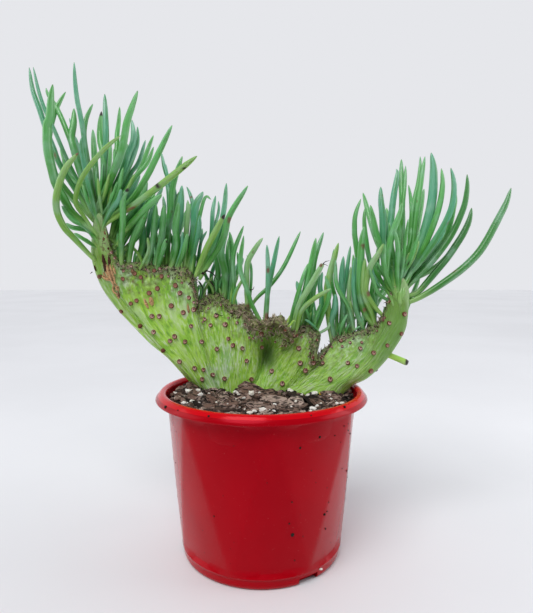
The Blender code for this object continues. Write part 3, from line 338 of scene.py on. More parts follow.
# Along the ridge, by rib: how far the stem ends under the solid's edge, how deep the dry band reaches, how
# brown it is, and how olive the skin under it is.
RIDGE_DROP = ((0, 0), (4, 0.6), (10, 0.8), (18, 1.2), (26, 1.2), (32, 1.0), (40, 0.6), (43, 0))
CRUST_BAND = ((0, 0.01), (3, 0.01), (4.5, 5), (6, 8), (12, 9), (16, 9), (18, 8.5), (20, 9.5), (24, 11),
              (26, 5), (28, 5), (30, 8), (32, 6), (34, 6), (38, 6), (40.5, 4), (41.5, 0.01), (43, 0.01))
CRUST_BROWN = ((0, 0), (12, 0.15), (16, 0.4), (19, 1.0), (25, 1.0), (27, 0.4), (43, 0.3))
OLIVE_SHARE = ((0, 0.9), (8, 0.8), (13, 0.7), (18, 0.5), (43, 0.5))

# Healed wound on the left arm: tan ropy strands, then a few smaller scabs. Half width, tone, then x, z.
SCABS = ((0.75, 0.0, -104.9, 198.6, -104.2, 195.5, -103.6, 190.5, -103.4, 186.5),
         (0.6, 0.1, -100.9, 197.4, -100.5, 194, -100.8, 191),
         (0.5, 0.0, -102.9, 194, -102.4, 190, -102.2, 186),
         (0.6, 1.0, -102.6, 192.6, -101.6, 188.5, -100.2, 184, -98.8, 180, -98, 177.6),
         (0.5, 0.8, -100.3, 192.4, -99.4, 188, -98, 184, -97.2, 180, -95.6, 177.4),
         (0.45, 0.55, -101.5, 191.5, -100.6, 187.4, -99.4, 183.4, -97.6, 179.6, -96.9, 178.4),
         (0.45, 0.95, -98.4, 191.6, -97.4, 188, -96.5, 185.4),
         (0.5, 0.9, -103.4, 188.6, -102, 185.4, -100.2, 182.4),
         (0.6, 0.85, -105.6, 184.6, -103.7, 182.8, -101.4, 182, -99.4, 181),
         (0.5, 0.6, -104.6, 186.6, -103.4, 184, -101.6, 182.8), (1.0, 0.25, -107.2, 184.8, -105.9, 183.6),
         (0.5, 0.8, -98, 178.2, -98.5, 176, -97.8, 173.6, -96.4, 172.4),
         (0.45, 0.6, -96.6, 178.6, -95.2, 176.6, -95, 174),
         (0.45, 0.9, -97.6, 177.6, -96.4, 176.9, -96.2, 175.4, -97.2, 174.6),
         (0.5, 0.7, -96.8, 173.6, -95.8, 171.4, -94.8, 169),
         (0.4, 0.3, -95.4, 174.4, -94.7, 172, -94.3, 169.6), (0.5, 0.1, -97, 176.9, -96.8, 175.6),
         (0.5, 0.05, -110.4, 191.5, -109.2, 187.4), (0.6, 0.9, -78.1, 169.3, -76.8, 166, -75.2, 162.8),
         (0.95, 1.0, -73.9, 170.4, -73.2, 167.6, -72.5, 164.6),
         (0.8, 0.35, -85.6, 189.2, -85.1, 187, -84, 184.6), (0.5, 0.6, -49, 166, -48.8, 163, -48.3, 159.5),
         (0.45, 0.4, -103.3, 213.6, -102.6, 211.4), (0.4, 0.3, -104.2, 209.8, -103.6, 207.6),
         (0.4, 0.0, -101.2, 203.2, -100.8, 201.6))

# Black dry threads and stubs: half width at the thick end, depth, then x, z along each. The depths are
# guesses, and five of the ten don't reach the plant.
THREADS = ((0.65, 6, -38.5, 185.5, -37, 187.6, -34, 187, -31, 184.6, -29.4, 181.6),
           (1.2, 6, -39.5, 186.5, -37.5, 185), (0.45, -8, 39.5, 191, 42, 193.6, 45, 194.5),
           (0.4, -8, 39.5, 191, 41.5, 192, 44, 191), (0.5, 10, -8, 175, -5.6, 175.6, -5, 177.5),
           (0.4, -6, -31, 159.5, -27, 158, -25, 158.6), (0.35, -5, -112, 187, -113.6, 185.6),
           (0.6, 8, 74, 121, 77, 120.5, 78.2, 121.6), (0.5, 8, -41, 180, -39, 176, -40, 170),
           (0.5, 4, -34, 181, -31, 176, -31.5, 170))

# Large bark flakes on top: x, y, z, length, width, thickness, way up and tone.
BIG_FLAKES = ((-6, -3.5, 106.9, 24, 13, 12, (-0.2, -1.0, 1), 0.6),
              (-11, -7, 105.8, 16, 9, 11, (0.35, -0.6, 1), 0.5),
              (3, -8, 106.0, 17, 10, 10, (0.3, -0.5, 1), 0.62),
              (8, -22, 105.6, 20, 13, 9, (-0.1, -0.25, 1), 0.85),
              (22, -26, 105.6, 17, 10, 9, (0.15, -0.2, 1), 0.92),
              (0, -34, 105.2, 19, 10, 9, (0.1, -0.2, 1), 0.75),
              (-30, -20, 105.6, 18, 9, 10, (0.3, -0.3, 1), 0.5),
              (-22, -38, 105.2, 19, 8, 10, (-0.2, -0.2, 1), 0.6),
              (36, -30, 105.4, 18, 9, 10, (0.2, -0.2, 1), 0.4),
              (46, -8, 105.6, 15, 8, 9, (0.2, -0.3, 1), 0.66),
              (-44, -10, 106.2, 15, 9, 11, (0.2, -0.3, 1), 0.6),
              (16, -42, 105.4, 15, 8, 8, (0, -0.2, 1), 0.62),
              (-48, 8, 107.2, 15, 9, 10, (0.3, -0.2, 1), 0.55),
              (-36, 18, 107.0, 14, 8, 10, (0.3, -0.1, 1), 0.35),
              (-8, 34, 106.0, 18, 11, 10, (0.1, 0.3, 1), 0.55),
              (24, 40, 106.0, 16, 9, 10, (0.1, 0.2, 1), 0.75))

# Grains of perlite, the yellow grain, the white one on the pot and the dirt on it: x, z, size.
PERLITE = ((-49.3, 106.3, 3.6), (-42.6, 107.0, 3.2), (-41.1, 104.1, 2.8), (-47.1, 99.6, 3),
           (-52.6, 98.4, 2.8), (-61.9, 101.9, 3.4), (-17.4, 105.6, 3.6), (-7.0, 104.9, 3.8),
           (-11.9, 101.9, 2), (-1.6, 105.6, 1.8), (0.4, 93.5, 3.6), (4.9, 92.9, 2.6), (-4.9, 92.9, 2.2),
           (8.4, 93.1, 1.8), (7.6, 111.1, 2.2), (10.6, 108.6, 1.8), (15.8, 107.1, 3), (18.7, 107.7, 2.2),
           (22.5, 108.1, 3), (27.1, 104.1, 2), (31.1, 103.9, 2.4), (35.5, 104.6, 4.2), (34.4, 94.6, 3.4),
           (37.5, 96.3, 2.4), (40.0, 98.3, 1.8), (50.9, 98.1, 2.4), (54.2, 98.3, 2.6), (-58.0, 105.3, 1.6),
           (-35.4, 105.2, 1.4), (-14.9, 95.7, 1.2), (46.8, 101.5, 1.5))
YELLOW_GRAIN = (39.8, 104.7, 2.2)
POT_GRAIN = (40.4, -17.6, 2.2)
SPECKS = ((39.4, 75.2, 0.9), (26.2, 67.8, 0.7), (55.8, 82.9, 0.45), (58.5, 84.4, 0.4), (58.5, 80.0, 0.45),
          (59.8, 77.7, 0.5), (49.6, 76.4, 0.5), (53.7, 71.7, 0.35), (60.8, 67.7, 0.45), (57.8, 51.9, 0.7),
          (54.7, 53.3, 0.35), (33.8, 51.9, 0.4), (20.7, 29.8, 0.5), (44.6, 39.9, 0.35), (45.8, 29.8, 0.45),
          (44.7, 23.2, 0.5), (42.9, 21.2, 0.8), (18.9, 14.6, 0.55), (43.7, 10.9, 0.6), (21.3, 6.7, 1.1),
          (28.4, 5.5, 0.4), (22.7, -11.7, 0.45), (-32.7, 19.8, 0.5), (-64.7, 95.9, 0.9),
          (-56.5, 93.7, 0.5), (-35.8, 89.6, 0.7), (33.5, 90.2, 0.5), (55.9, 95.9, 0.9))


def srgb(text):
    """Linear colour of a hex sRGB value such as "#7db548"."""
    parts = [int(text[k:k + 2], 16) / 255 for k in (1, 3, 5)]
    return tuple(c / 12.92 if c <= 0.04045 else ((c + 0.055) / 1.055) ** 2.4 for c in parts)


def length(size, name, note):
    """Length property with a default in millimetres."""
    return FloatProperty(name=name, description=note, subtype="DISTANCE", unit="LENGTH", default=size * MM)


def number(start, name, note):
    """Whole number property with its default."""
    return IntProperty(name=name, description=note, default=start)


def colour(text, name, note):
    """Colour property with a hex default."""
    return FloatVectorProperty(name=name, description=note, subtype="COLOR", size=3, min=0, max=1,
                               default=srgb(text))


class PotSettings(PropertyGroup):
    """Sizes and colour of the pot."""
    height: length(109.4, "Height", "From the table to the top of the rim")
    rim: length(70.0, "Rim radius", "Outer radius of the rolled rim")
    top: length(64.9, "Upper wall radius", "Radius of a facet's corner just under the rim")
    low: length(53.8, "Lower wall radius", "Radius of a facet's corner just above the foot")
    wall: length(1.2, "Wall thickness", "Thickness of the plastic")
    floor: length(1.6, "Floor thickness", "Thickness of the pot's floor")
    facets: number(7, "Facets", "Flat triangles that point down round the wall")
    turn: FloatProperty(name="First facet", description="Angle of the first facet's upper corner",
                        subtype="ANGLE", default=math.radians(-90 + 6.4))
    share: FloatProperty(name="Facet depth", description="0 for a plain cone and 1 for flat facets",
                         subtype="FACTOR", min=0, max=1, default=0.46)
    slots: number(3, "Drainage slots", "Slots round the bottom corner")
    red: colour("#ab0312", "Plastic", "Colour of the pot")


class MixSettings(PropertyGroup):
    """Sizes, counts and colours of the potting mix."""
    level: length(104.6, "Level", "Mean height of the mix")
    radius: length(61.7, "Radius", "Radius of the mix at its top")
    crumbs: number(420, "Crumbs", "Small bits of bark")
    flakes: number(380, "Flakes", "Flat pieces of bark")
    grains: number(70, "Perlite", "Small white grains besides the large ones")
    bark: colour("#745a4e", "Bark", "Colour of the bark")
    white: colour("#f3f0ea", "Perlite", "Colour of the white grains")


class PlantSettings(PropertyGroup):
    """Counts and colours of the plant."""
    columns: number(5, "Columns", "Columns of the crest's mesh for each rib")
    rows: number(58, "Rows", "Rows of the crest's mesh from the mix to the ridge")
    bristles: number(4400, "Bristles", "Dry hooked leaf bases on the ridge")
    young: number(110, "Young leaves", "Thin short leaves along the ridge")
    stem: colour("#a9d94e", "Stem", "Skin of the crested stem")
    blue: colour("#58ae86", "Blue leaves", "Waxy blue-green leaves")
    green: colour("#60ba5c", "Green leaves", "Mid-green leaves")
    # The outermost leaves of the right head get this green, painted darker as shade.
    deep: colour("#4a9448", "Shaded green leaves", "Outermost leaves of the right head")
    olive: colour("#8fc058", "Olive leaves", "Old yellow-green leaves")
    pale: colour("#98c987", "Pale leaves", "Young pale leaves")


class StageSettings(PropertyGroup):
    """Floor and light."""
    floor: colour("#e3e4e7", "Floor", "Colour of the floor")
    key: FloatProperty(name="Overhead light", description="Strength of the wide soft light above",
                       default=1.8)
    side: FloatProperty(name="Side lights", description="Power of each light at the side", subtype="POWER",
                        default=1.45)


# Points and lines

def seen(x, z, y):
    """Point at depth y that covers (x, z) of the plane y = 0 for an eye at VIEW."""
    k = (y - VIEW.y) / -VIEW.y
    return Vector((VIEW.x + (x - VIEW.x) * k, y, VIEW.z + (z - VIEW.z) * k))


def flat_of(p):
    """(x, z) in the plane y = 0 that covers point p for the eye."""
    k = -VIEW.y / (p.y - VIEW.y)
    return VIEW.x + (p.x - VIEW.x) * k, VIEW.z + (p.z - VIEW.z) * k


def pairs(flat):
    """Pairs of (x, z) from a row that lists them one after the other."""
    return tuple(zip(flat[::2], flat[1::2]))


def curve_at(p0, p1, p2, p3, f):
    """Point at the share f from p1 to p2, on a smooth curve through four points."""
    return 0.5 * (2 * p1 + (p2 - p0) * f + (2 * p0 - 5 * p1 + 4 * p2 - p3) * f * f
                  + (3 * p1 - p0 - 3 * p2 + p3) * f * f * f)


def along(points, t):
    """Point at the share t of a smooth line through points, evenly by their distances."""
    steps = [0.0]
    for a, b in zip(points, points[1:]):
        steps.append(steps[-1] + (b - a).length)
    s = min(max(t, 0.0), 1.0) * steps[-1]
    i = 0
    while i < len(points) - 2 and s > steps[i + 1]:
        i += 1
    p1, p2 = points[i], points[i + 1]
    p0 = points[i - 1] if i else p1 * 2 - p2
    p3 = points[i + 2] if i + 2 < len(points) else p2 * 2 - p1
    return curve_at(p0, p1, p2, p3, (s - steps[i]) / (steps[i + 1] - steps[i]))


def line_of(points, count):
    """Points at even shares of a smooth line."""
    return [along(points, k / (count - 1)) for k in range(count)]


def table(rows, t):
    """Value at t in rows of (t, value), straight between them."""
    for (t0, a), (t1, b) in zip(rows, rows[1:]):
        if t <= t1:
            return a + (b - a) * (t - t0) / (t1 - t0)
    return rows[-1][1]


def smooth_step(low, high, value):
    """0 at low, 1 at high, and a smooth change between them."""
    t = min(max((value - low) / (high - low), 0.0), 1.0)
    return t * t * (3 - 2 * t)


def rough(p, scale):
    """Smooth noise from -1 to 1 at a millimetre place, with features about scale millimetres wide."""
    return noise.noise(Vector(p) / scale)


def any_way(rng):
    """Random direction, not of unit length."""
    return Vector((rng.uniform(-1, 1), rng.uniform(-1, 1), rng.uniform(-1, 1)))


# Materials

def add(mat, kind, inputs=None, out=0, **settings):
    """Add a node, set its properties, fill or link its inputs, and give one of its outputs."""
    made = mat.node_tree.nodes.new("ShaderNode" + kind)
    for key, value in settings.items():
        setattr(made, key, value)
    for key, value in (inputs or {}).items():
        socket = made.inputs[key]
        if isinstance(value, bpy.types.NodeSocket):
            mat.node_tree.links.new(value, socket)
        elif socket.type == "RGBA":
            socket.default_value = (*(srgb(value) if isinstance(value, str) else value), 1)
        else:
            socket.default_value = value
    return made.outputs[out]


def coats(mat, ground, *rows):
    """Lay colours over a ground. Each row is a value, the two values between which the coat comes in, how
    much of it there is at most, and its colour."""
    for value, low, high, most, coat in rows:
        share = add(mat, "MapRange", {"Value": value, "From Min": low, "From Max": high, "To Max": most},
                    interpolation_type="SMOOTHSTEP")
        ground = add(mat, "Mix", {0: share, 6: ground, 7: coat}, 2, data_type="RGBA")
    return ground


def material(name, roughness, **uniform):
    """New material, its shader with values that are the same all over, and the place on its object."""
    mat = bpy.data.materials.new(name)
    mat.use_nodes = True
    shader = mat.node_tree.nodes["Principled BSDF"]
    shader.inputs["Roughness"].default_value = roughness
    for key, value in uniform.items():
        shader.inputs[key.replace("_", " ")].default_value = value
    return mat, shader, add(mat, "TexCoord", None, "Object")


def finish(mat, shader, paint, height, step):
    """Give a shader its colour, and a relief whose full step is in metres."""
    relief = add(mat, "Bump", {"Height": height, "Distance": step})
    mat.node_tree.links.new(paint, shader.inputs["Base Color"])
    mat.node_tree.links.new(relief, shader.inputs["Normal"])
    return mat


def tinted(paint, red, green, blue):
    """A colour with each of its parts scaled."""
    return paint[0] * red, paint[1] * green, paint[2] * blue


def red_plastic(name, red, roughness, tint):
    """Injection-moulded polypropylene: glossy, with faint clouds of flow and a little dust. The broad wall
    mirrors the floor in the plastic's own red, and the rolled rim mirrors the light white."""
    mat, shader, place = material(name, roughness, Specular_IOR_Level=0.45, Specular_Tint=(*tint, 1))
    cloud = add(mat, "TexNoise", {"Vector": place, "Scale": 24.0, "Detail": 3.0})
    dust = add(mat, "TexNoise", {"Vector": place, "Scale": 700.0, "Detail": 1.0})
    paint = coats(mat, red, (cloud, 0.35, 0.7, 0.5, tinted(red, 0.8, 0.8, 0.8)),
                  (dust, 0.7, 0.8, 0.1, "#c98a86"))
    return finish(mat, shader, paint, cloud, 0.00012)


def pine_bark(settings):
    """Weathered pine bark: layered flakes, each with its own tone, dark between the layers."""
    mat, shader, place = material("pine_bark", 0.82, Specular_IOR_Level=0.3)
    tone = add(mat, "Attribute", None, "Fac", attribute_name="tone")
    sheets = add(mat, "Mapping", {"Vector": place, "Scale": (260, 520, 900)})
    layers = add(mat, "TexNoise", {"Vector": sheets, "Scale": 1.0, "Detail": 4.0, "Distortion": 0.6})
    chalk = add(mat, "TexNoise", {"Vector": place, "Scale": 240.0, "Detail": 3.0})
    paint = coats(mat, "#1f1510", (tone, 0.0, 0.5, 1.0, tuple(settings.bark)),
                  (tone, 0.55, 1.0, 0.9, "#c8b1a4"), (chalk, 0.52, 0.66, 0.6, "#b39d92"),
                  (layers, 0.52, 0.42, 0.9, "#1a120e"))
    return finish(mat, shader, paint, layers, 0.0011)


def fines_and_gap_shade():
    """Fines between the flakes: soil, painted near black as the shade in the gaps."""
    mat, shader, place = material("fines_and_gap_shade", 0.95, Specular_IOR_Level=0.2)
    crumbs = add(mat, "TexNoise", {"Vector": place, "Scale": 700.0, "Detail": 5.0})
    # The near-black ground is painted shade for the gaps, and the brown crumbs are the fines' own colour.
    return finish(mat, shader, coats(mat, "#100c0a", (crumbs, 0.42, 0.7, 1.0, "#4a392c")), crumbs, 0.0012)


def puffed_perlite(settings):
    """Puffed volcanic glass: chalky white with pinholes. One grain is yellow."""
    mat, shader, place = material("perlite", 0.75, Specular_IOR_Level=0.35)
    tone = add(mat, "Attribute", None, "Fac", attribute_name="tone")
    holes = add(mat, "TexNoise", {"Vector": place, "Scale": 1300.0, "Detail": 3.0})
    paint = coats(mat, tuple(settings.white), (holes, 0.44, 0.3, 0.35, "#c2bab0"),
                  (tone, 0.0, 0.5, 0.35, "#e5dcc4"), (tone, 0.6, 1.0, 1.0, "#e8b92c"))
    return finish(mat, shader, paint, holes, 0.0004)


def stem_skin(settings):
    """Succulent skin: fine pale wax strokes that fan up the ribs, mossy and dry near the growing ridge."""
    mat, shader, place = material("crested_stem_skin", 0.48, Specular_IOR_Level=0.4, Subsurface_Weight=0.1,
                                  Subsurface_Scale=0.003, Subsurface_Radius=(0.6, 1.0, 0.25))
    uv = add(mat, "TexCoord", None, "UV")
    green = tuple(settings.stem)
    # One u is 43 ribs: 100 mm round the foot and 260 mm at the ridge. One v is the way up, 60 to 110 mm.
    fine, stroke, broad = (
        add(mat, "TexNoise", {"Vector": add(mat, "Mapping", {"Vector": uv, "Scale": scale}), "Scale": 1.0,
                              "Detail": detail, "Distortion": bend})
        for scale, detail, bend in (((210, 13, 1), 4.0, 0.25), ((88, 6.5, 1), 3.0, 0.25),
                                    ((22, 3, 1), 2.0, 0.0)))
    patch, grit, crumb, spots = (
        add(mat, "TexNoise", {"Vector": place, "Scale": scale, "Detail": detail})
        for scale, detail in ((38.0, 2.0), (360.0, 4.0), (620.0, 2.0), (420.0, 2.0)))
    crust, olive, brown, fold_shade, tip, rust = (
        add(mat, "Attribute", None, "Fac", attribute_name=title) for title in STEM_VALUES)
    x = add(mat, "SeparateXYZ", {0: place}, "X")
    wax = add(mat, "MapRange", {"Value": patch, "From Min": 0.38, "From Max": 0.62, "To Min": 0.35,
                                "To Max": 0.95})
    paint = coats(mat, green, (broad, 0.52, 0.36, 0.6, tinted(green, 0.6, 0.78, 0.5)),
                  (stroke, 0.49, 0.34, 0.6, tinted(green, 0.42, 0.66, 0.32)),
                  (fine, 0.47, 0.34, 0.55, "#5f9634"), (stroke, 0.5, 0.62, wax, "#c2dca4"),
                  (fine, 0.52, 0.64, wax, "#d6e8c0"), (patch, 0.54, 0.68, 0.3, "#b2d6bc"),
                  (x, 0.02, 0.05, 0.22, "#7fae72"), (x, 0.06, 0.088, 0.8, "#64903f"),
                  # The dark green coat on the fold is painted shade in the hollow under the ear.
                  (x, -0.086, -0.106, 0.45, "#6d9347"), (fold_shade, 0.0, 1.0, 0.85, "#41682b"),
                  (grit, 0.34, 0.62, olive, "#6f8a42"), (grit, 0.6, 0.7, olive, "#74523c"),
                  (tip, 0.0, 1.0, 0.8, "#a5c88a"), (crust, 0.05, 0.7, 0.6, "#6f7c4c"),
                  (patch, 0.46, 0.6, rust, "#7d8a52"), (spots, 0.53, 0.6, rust, "#6e3f2c"))
    # Dry bits in the crust: dark ones first, then cream ones.
    dark = add(mat, "MapRange", {"Value": crust, "From Min": 0.1, "From Max": 0.75, "To Max": 0.92})
    paint = coats(mat, paint, (crumb, 0.52, 0.62, dark, "#33251c"), (grit, 0.56, 0.66, dark, "#b8a68c"),
                  (brown, 0.0, 1.0, 0.45, "#75614a"), (grit, 0.5, 0.36, brown, "#4f3b2c"))
    height = add(mat, "Math", {0: fine, 1: stroke}, operation="ADD")
    coarse = add(mat, "Math", {0: add(mat, "Math", {0: grit, 1: crumb}, operation="ADD"), 1: crust},
                 operation="MULTIPLY")
    return finish(mat, shader, paint, add(mat, "Math", {0: height, 1: coarse}, operation="ADD"), 0.0008)


def leaf_skin(name, tone, low):
    """Waxy succulent leaf: pale lime root, partly its own colour and partly painted light glowing through it,
    saturated lower half, paler and bluer toward the tip, faint lines along it."""
    mat, shader, place = material("leaf_" + name, 0.3, Specular_IOR_Level=0.55, Subsurface_Weight=0.1,
                                  Subsurface_Scale=0.002, Subsurface_Radius=(0.5, 1.0, 0.3),
                                  Sheen_Weight=0.06, Sheen_Roughness=0.5, Sheen_Tint=(0.75, 0.95, 0.82, 1))
    uv = add(mat, "TexCoord", None, "UV")
    up = add(mat, "SeparateXYZ", {0: uv}, "Y")
    seed, dark, rust = (add(mat, "Attribute", None, "Fac", attribute_name=title) for title in LEAF_VALUES)
    strokes = add(mat, "Mapping", {"Vector": uv, "Scale": (5, 1.6, 1)})
    lines = add(mat, "TexNoise", {"Vector": strokes, "Scale": 1.0, "Detail": 3.0, "Distortion": 0.2})
    bloom = add(mat, "TexNoise", {"Vector": place, "Scale": 62.0, "Detail": 3.0})
    fleck = add(mat, "TexNoise", {"Vector": place, "Scale": 250.0, "Detail": 1.0})
    pale = tuple(c + (w - c) * 0.3 for c, w in zip(tone, srgb("#c4e3cc")))
    paint = coats(mat, low, (up, 0.14, 0.72, 1.0, tone), (seed, 0.2, 1.0, 0.5, tinted(tone, 0.42, 0.6, 0.4)),
                  (up, 0.45, 1.0, 0.6, pale), (lines, 0.47, 0.62, 0.5, pale), (lines, 0.48, 0.36, 0.6, low),
                  # The lime at the root is partly the leaf's pale base and partly painted light glowing
                  # through the bases.
                  (bloom, 0.5, 0.68, 0.35, "#a4cfb8"), (up, 0.2, 0.02, 0.6, "#a6cf72"),
                  (up, 0.975, 1.0, 0.6, "#7a7a4a"), (fleck, 0.73, 0.79, 0.5, "#6b6a3a"),
                  (rust, 0.0, 1.0, 0.9, "#7b4a38"), (dark, 0.0, 1.0, 1.0, "#241712"))
    return finish(mat, shader, paint, lines, 0.0002)


def corky_scar():
    """Corky leaf scar: reddish-brown collar, pinkish face and a dark pit toward its top."""
    mat, shader, place = material("leaf_scar", 0.65, Specular_IOR_Level=0.35)
    tone, face, pit = (add(mat, "Attribute", None, "Fac", attribute_name=title) for title in SCAR_VALUES)
    grit = add(mat, "TexNoise", {"Vector": place, "Scale": 1100.0, "Detail": 3.0})
    paint = coats(mat, "#6d3c2a", (face, 0.2, 0.8, 1.0, "#9a6450"), (face, 0.3, 0.8, tone, "#cdafa2"),
                  (grit, 0.5, 0.64, 0.4, "#7d4f3e"), (pit, 0.1, 0.6, 0.9, "#452722"))
    return finish(mat, shader, paint, grit, 0.0003)


def dry_tissue(name, dark, light, fibre):
    """Dead tissue between two tones, one for each strand, with fibres about 1 / fibre metres wide."""
    mat, shader, place = material(name, 0.75, Specular_IOR_Level=0.3)
    tone = add(mat, "Attribute", None, "Fac", attribute_name="tone")
    grit = add(mat, "TexNoise", {"Vector": place, "Scale": fibre, "Detail": 4.0})
    paint = coats(mat, dark, (tone, 0.0, 1.0, 1.0, light),
                  (grit, 0.5, 0.34, 0.6, tinted(srgb(dark), 0.5, 0.45, 0.4)))
    return finish(mat, shader, paint, grit, 0.0004)


# Meshes

def ring_faces(gaps, sides):
    """Faces that join each ring of corners to the next."""
    return [(k * sides + n, k * sides + m, (k + 1) * sides + m, (k + 1) * sides + n)
            for k in range(gaps) for n, m in zip(range(sides), (*range(1, sides), 0))]


class Shape:
    """Mesh in the making: corners in millimetres, faces, UV corners and named values for each corner."""

    def __init__(self, *names):
        self.verts, self.faces, self.uvs = [], [], []
        self.values = {name: [] for name in names}

    def add(self, verts, faces, uvs=None, **values):
        """Add corners and faces. A value is one number, or a list or function of one for each corner."""
        base = len(self.verts)
        self.verts += verts
        self.faces += [tuple(base + k for k in face) for face in faces]
        self.uvs += uvs or [(0.0, 0.0)] * sum(len(face) for face in faces)
        for name, column in self.values.items():
            value = values.get(name, 0.0)
            if callable(value):
                value = [value(p) for p in verts]
            column += value if isinstance(value, list) else [value] * len(verts)

    def stamp(self, form, place, turn, **values):
        """Add a copy of a form, turned and then moved. A list of a value is for the form's corners."""
        self.add([place + turn @ p for p in form[0]], form[1], **values)

    def tube(self, centres, radii, sides=10, squash=1.0, spin=0.0, **values):
        """Add a closed tube round a line of centres, its section squashed one way."""
        ways = [(b - a).normalized() for a, b in zip(centres, centres[1:])]
        ways.append(ways[-1])
        across = ways[0].orthogonal().normalized()
        across.rotate(Matrix.Rotation(spin, 3, ways[0]))
        verts, uvs = [], []
        for centre, way, radius in zip(centres, ways, radii):
            across = (across - way * across.dot(way)).normalized()
            other = way.cross(across) * squash
            for n in range(sides):
                a = 2 * math.pi * n / sides
                verts.append(centre + (across * math.cos(a) + other * math.sin(a)) * radius)
        last = len(centres) - 1
        for k in range(last):
            for n in range(sides):
                low, high, left, right = k / last, (k + 1) / last, n / sides, (n + 1) / sides
                uvs += [(left, low), (right, low), (right, high), (left, high)]
        faces = ring_faces(last, sides)
        faces.append(tuple(range(sides))[::-1])
        faces.append(tuple(range(last * sides, (last + 1) * sides)))
        uvs += [(0.5, 0.0)] * sides + [(0.5, 1.0)] * sides
        self.add(verts, faces, uvs, **values)

    def build(self, name, mat, smooth=True):
        """Make the object at the origin, with its faces turned outward."""
        mesh = bpy.data.meshes.new(name)
        mesh.from_pydata([tuple(c * MM for c in p) for p in self.verts], [], self.faces)
        layer = mesh.uv_layers.new(name="UVMap")
        layer.data.foreach_set("uv", [c for uv in self.uvs for c in uv])
        for title, column in self.values.items():
            mesh.attributes.new(title, "FLOAT", "POINT").data.foreach_set("value", column)
        bm = bmesh.new()
        bm.from_mesh(mesh)
        bmesh.ops.recalc_face_normals(bm, faces=bm.faces)
        bm.to_mesh(mesh)
        bm.free()
        mesh.polygons.foreach_set("use_smooth", [smooth] * len(mesh.polygons))
        mesh.materials.append(mat)
        obj = bpy.data.objects.new(name, mesh)
        bpy.context.scene.collection.objects.link(obj)
        return obj


def settle(obj, cad_node):
    """Let a finished piece stand for a node of the part and ride on its body."""
    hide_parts(cad_node)
    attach(obj, BODY)


def lathe(name, rows, sides):
    """Round closed shell: a circle drawn out ring by ring through rows of (radius, height)."""
    bpy.ops.object.select_all(action="DESELECT")
    bpy.ops.mesh.primitive_circle_add(vertices=sides, radius=rows[0][0] * MM,
                                      location=(0, 0, rows[0][1] * MM))
    obj = bpy.context.active_object
    obj.name = name
    bpy.ops.object.transform_apply(location=True, rotation=True, scale=True)
    bpy.ops.object.mode_set(mode="EDIT")
    bpy.ops.mesh.select_mode(type="EDGE")
    bpy.ops.mesh.select_all(action="SELECT")
    for (r0, z0), (r1, z1) in zip(rows, rows[1:]):
        bpy.ops.mesh.extrude_edges_move(TRANSFORM_OT_translate={"value": (0, 0, (z1 - z0) * MM)})
        bpy.ops.transform.resize(value=(r1 / r0, r1 / r0, 1), center_override=(0, 0, 0))
    bpy.ops.mesh.edge_face_add()
    bpy.ops.mesh.select_all(action="DESELECT")
    bpy.ops.mesh.select_non_manifold()
    bpy.ops.mesh.edge_face_add()
    bpy.ops.mesh.select_all(action="SELECT")
    bpy.ops.mesh.normals_make_consistent(inside=False)
    bpy.ops.object.mode_set(mode="OBJECT")
    return obj


def faces_of(obj):
    """Corners, in millimetres, and faces of an object."""
    return [v.co / MM for v in obj.data.vertices], [tuple(p.vertices) for p in obj.data.polygons]


def form_of(obj):
    """Corners and faces of an object, which is removed."""
    form = faces_of(obj)
    bpy.data.objects.remove(obj, do_unlink=True)
    return form


def sight(name):
    """Search tree of the faces of a finished piece, in millimetres."""
    return BVHTree.FromPolygons(*faces_of(bpy.data.objects[name]))


def look_at(tree, x, z):
    """Place and normal where the eye's line through (x, z) first meets a surface."""
    place, normal, _, _ = tree.ray_cast(VIEW, (Vector((x, 0, z)) - VIEW).normalized())
    return place, normal


# Pot

def facet_radius(settings, angle, share):
    """Radius of a wall of flat triangles that point down and up by turns, at an angle and height share."""
    top, low = settings.top / MM, settings.low / MM
    period = 2 * math.pi / settings.facets
    at = ((angle - settings.turn) / period) % 1.0
    if abs(at - 0.5) < share / 2:
        flat = low + (top * math.cos(period / 2) - low) * share
        turn = (at - 0.5) * period
    else:
        flat = top + (low * math.cos(period / 2) - top) * (1 - share)
        turn = (at if at < 0.5 else at - 1) * period
    return flat / math.cos(turn)


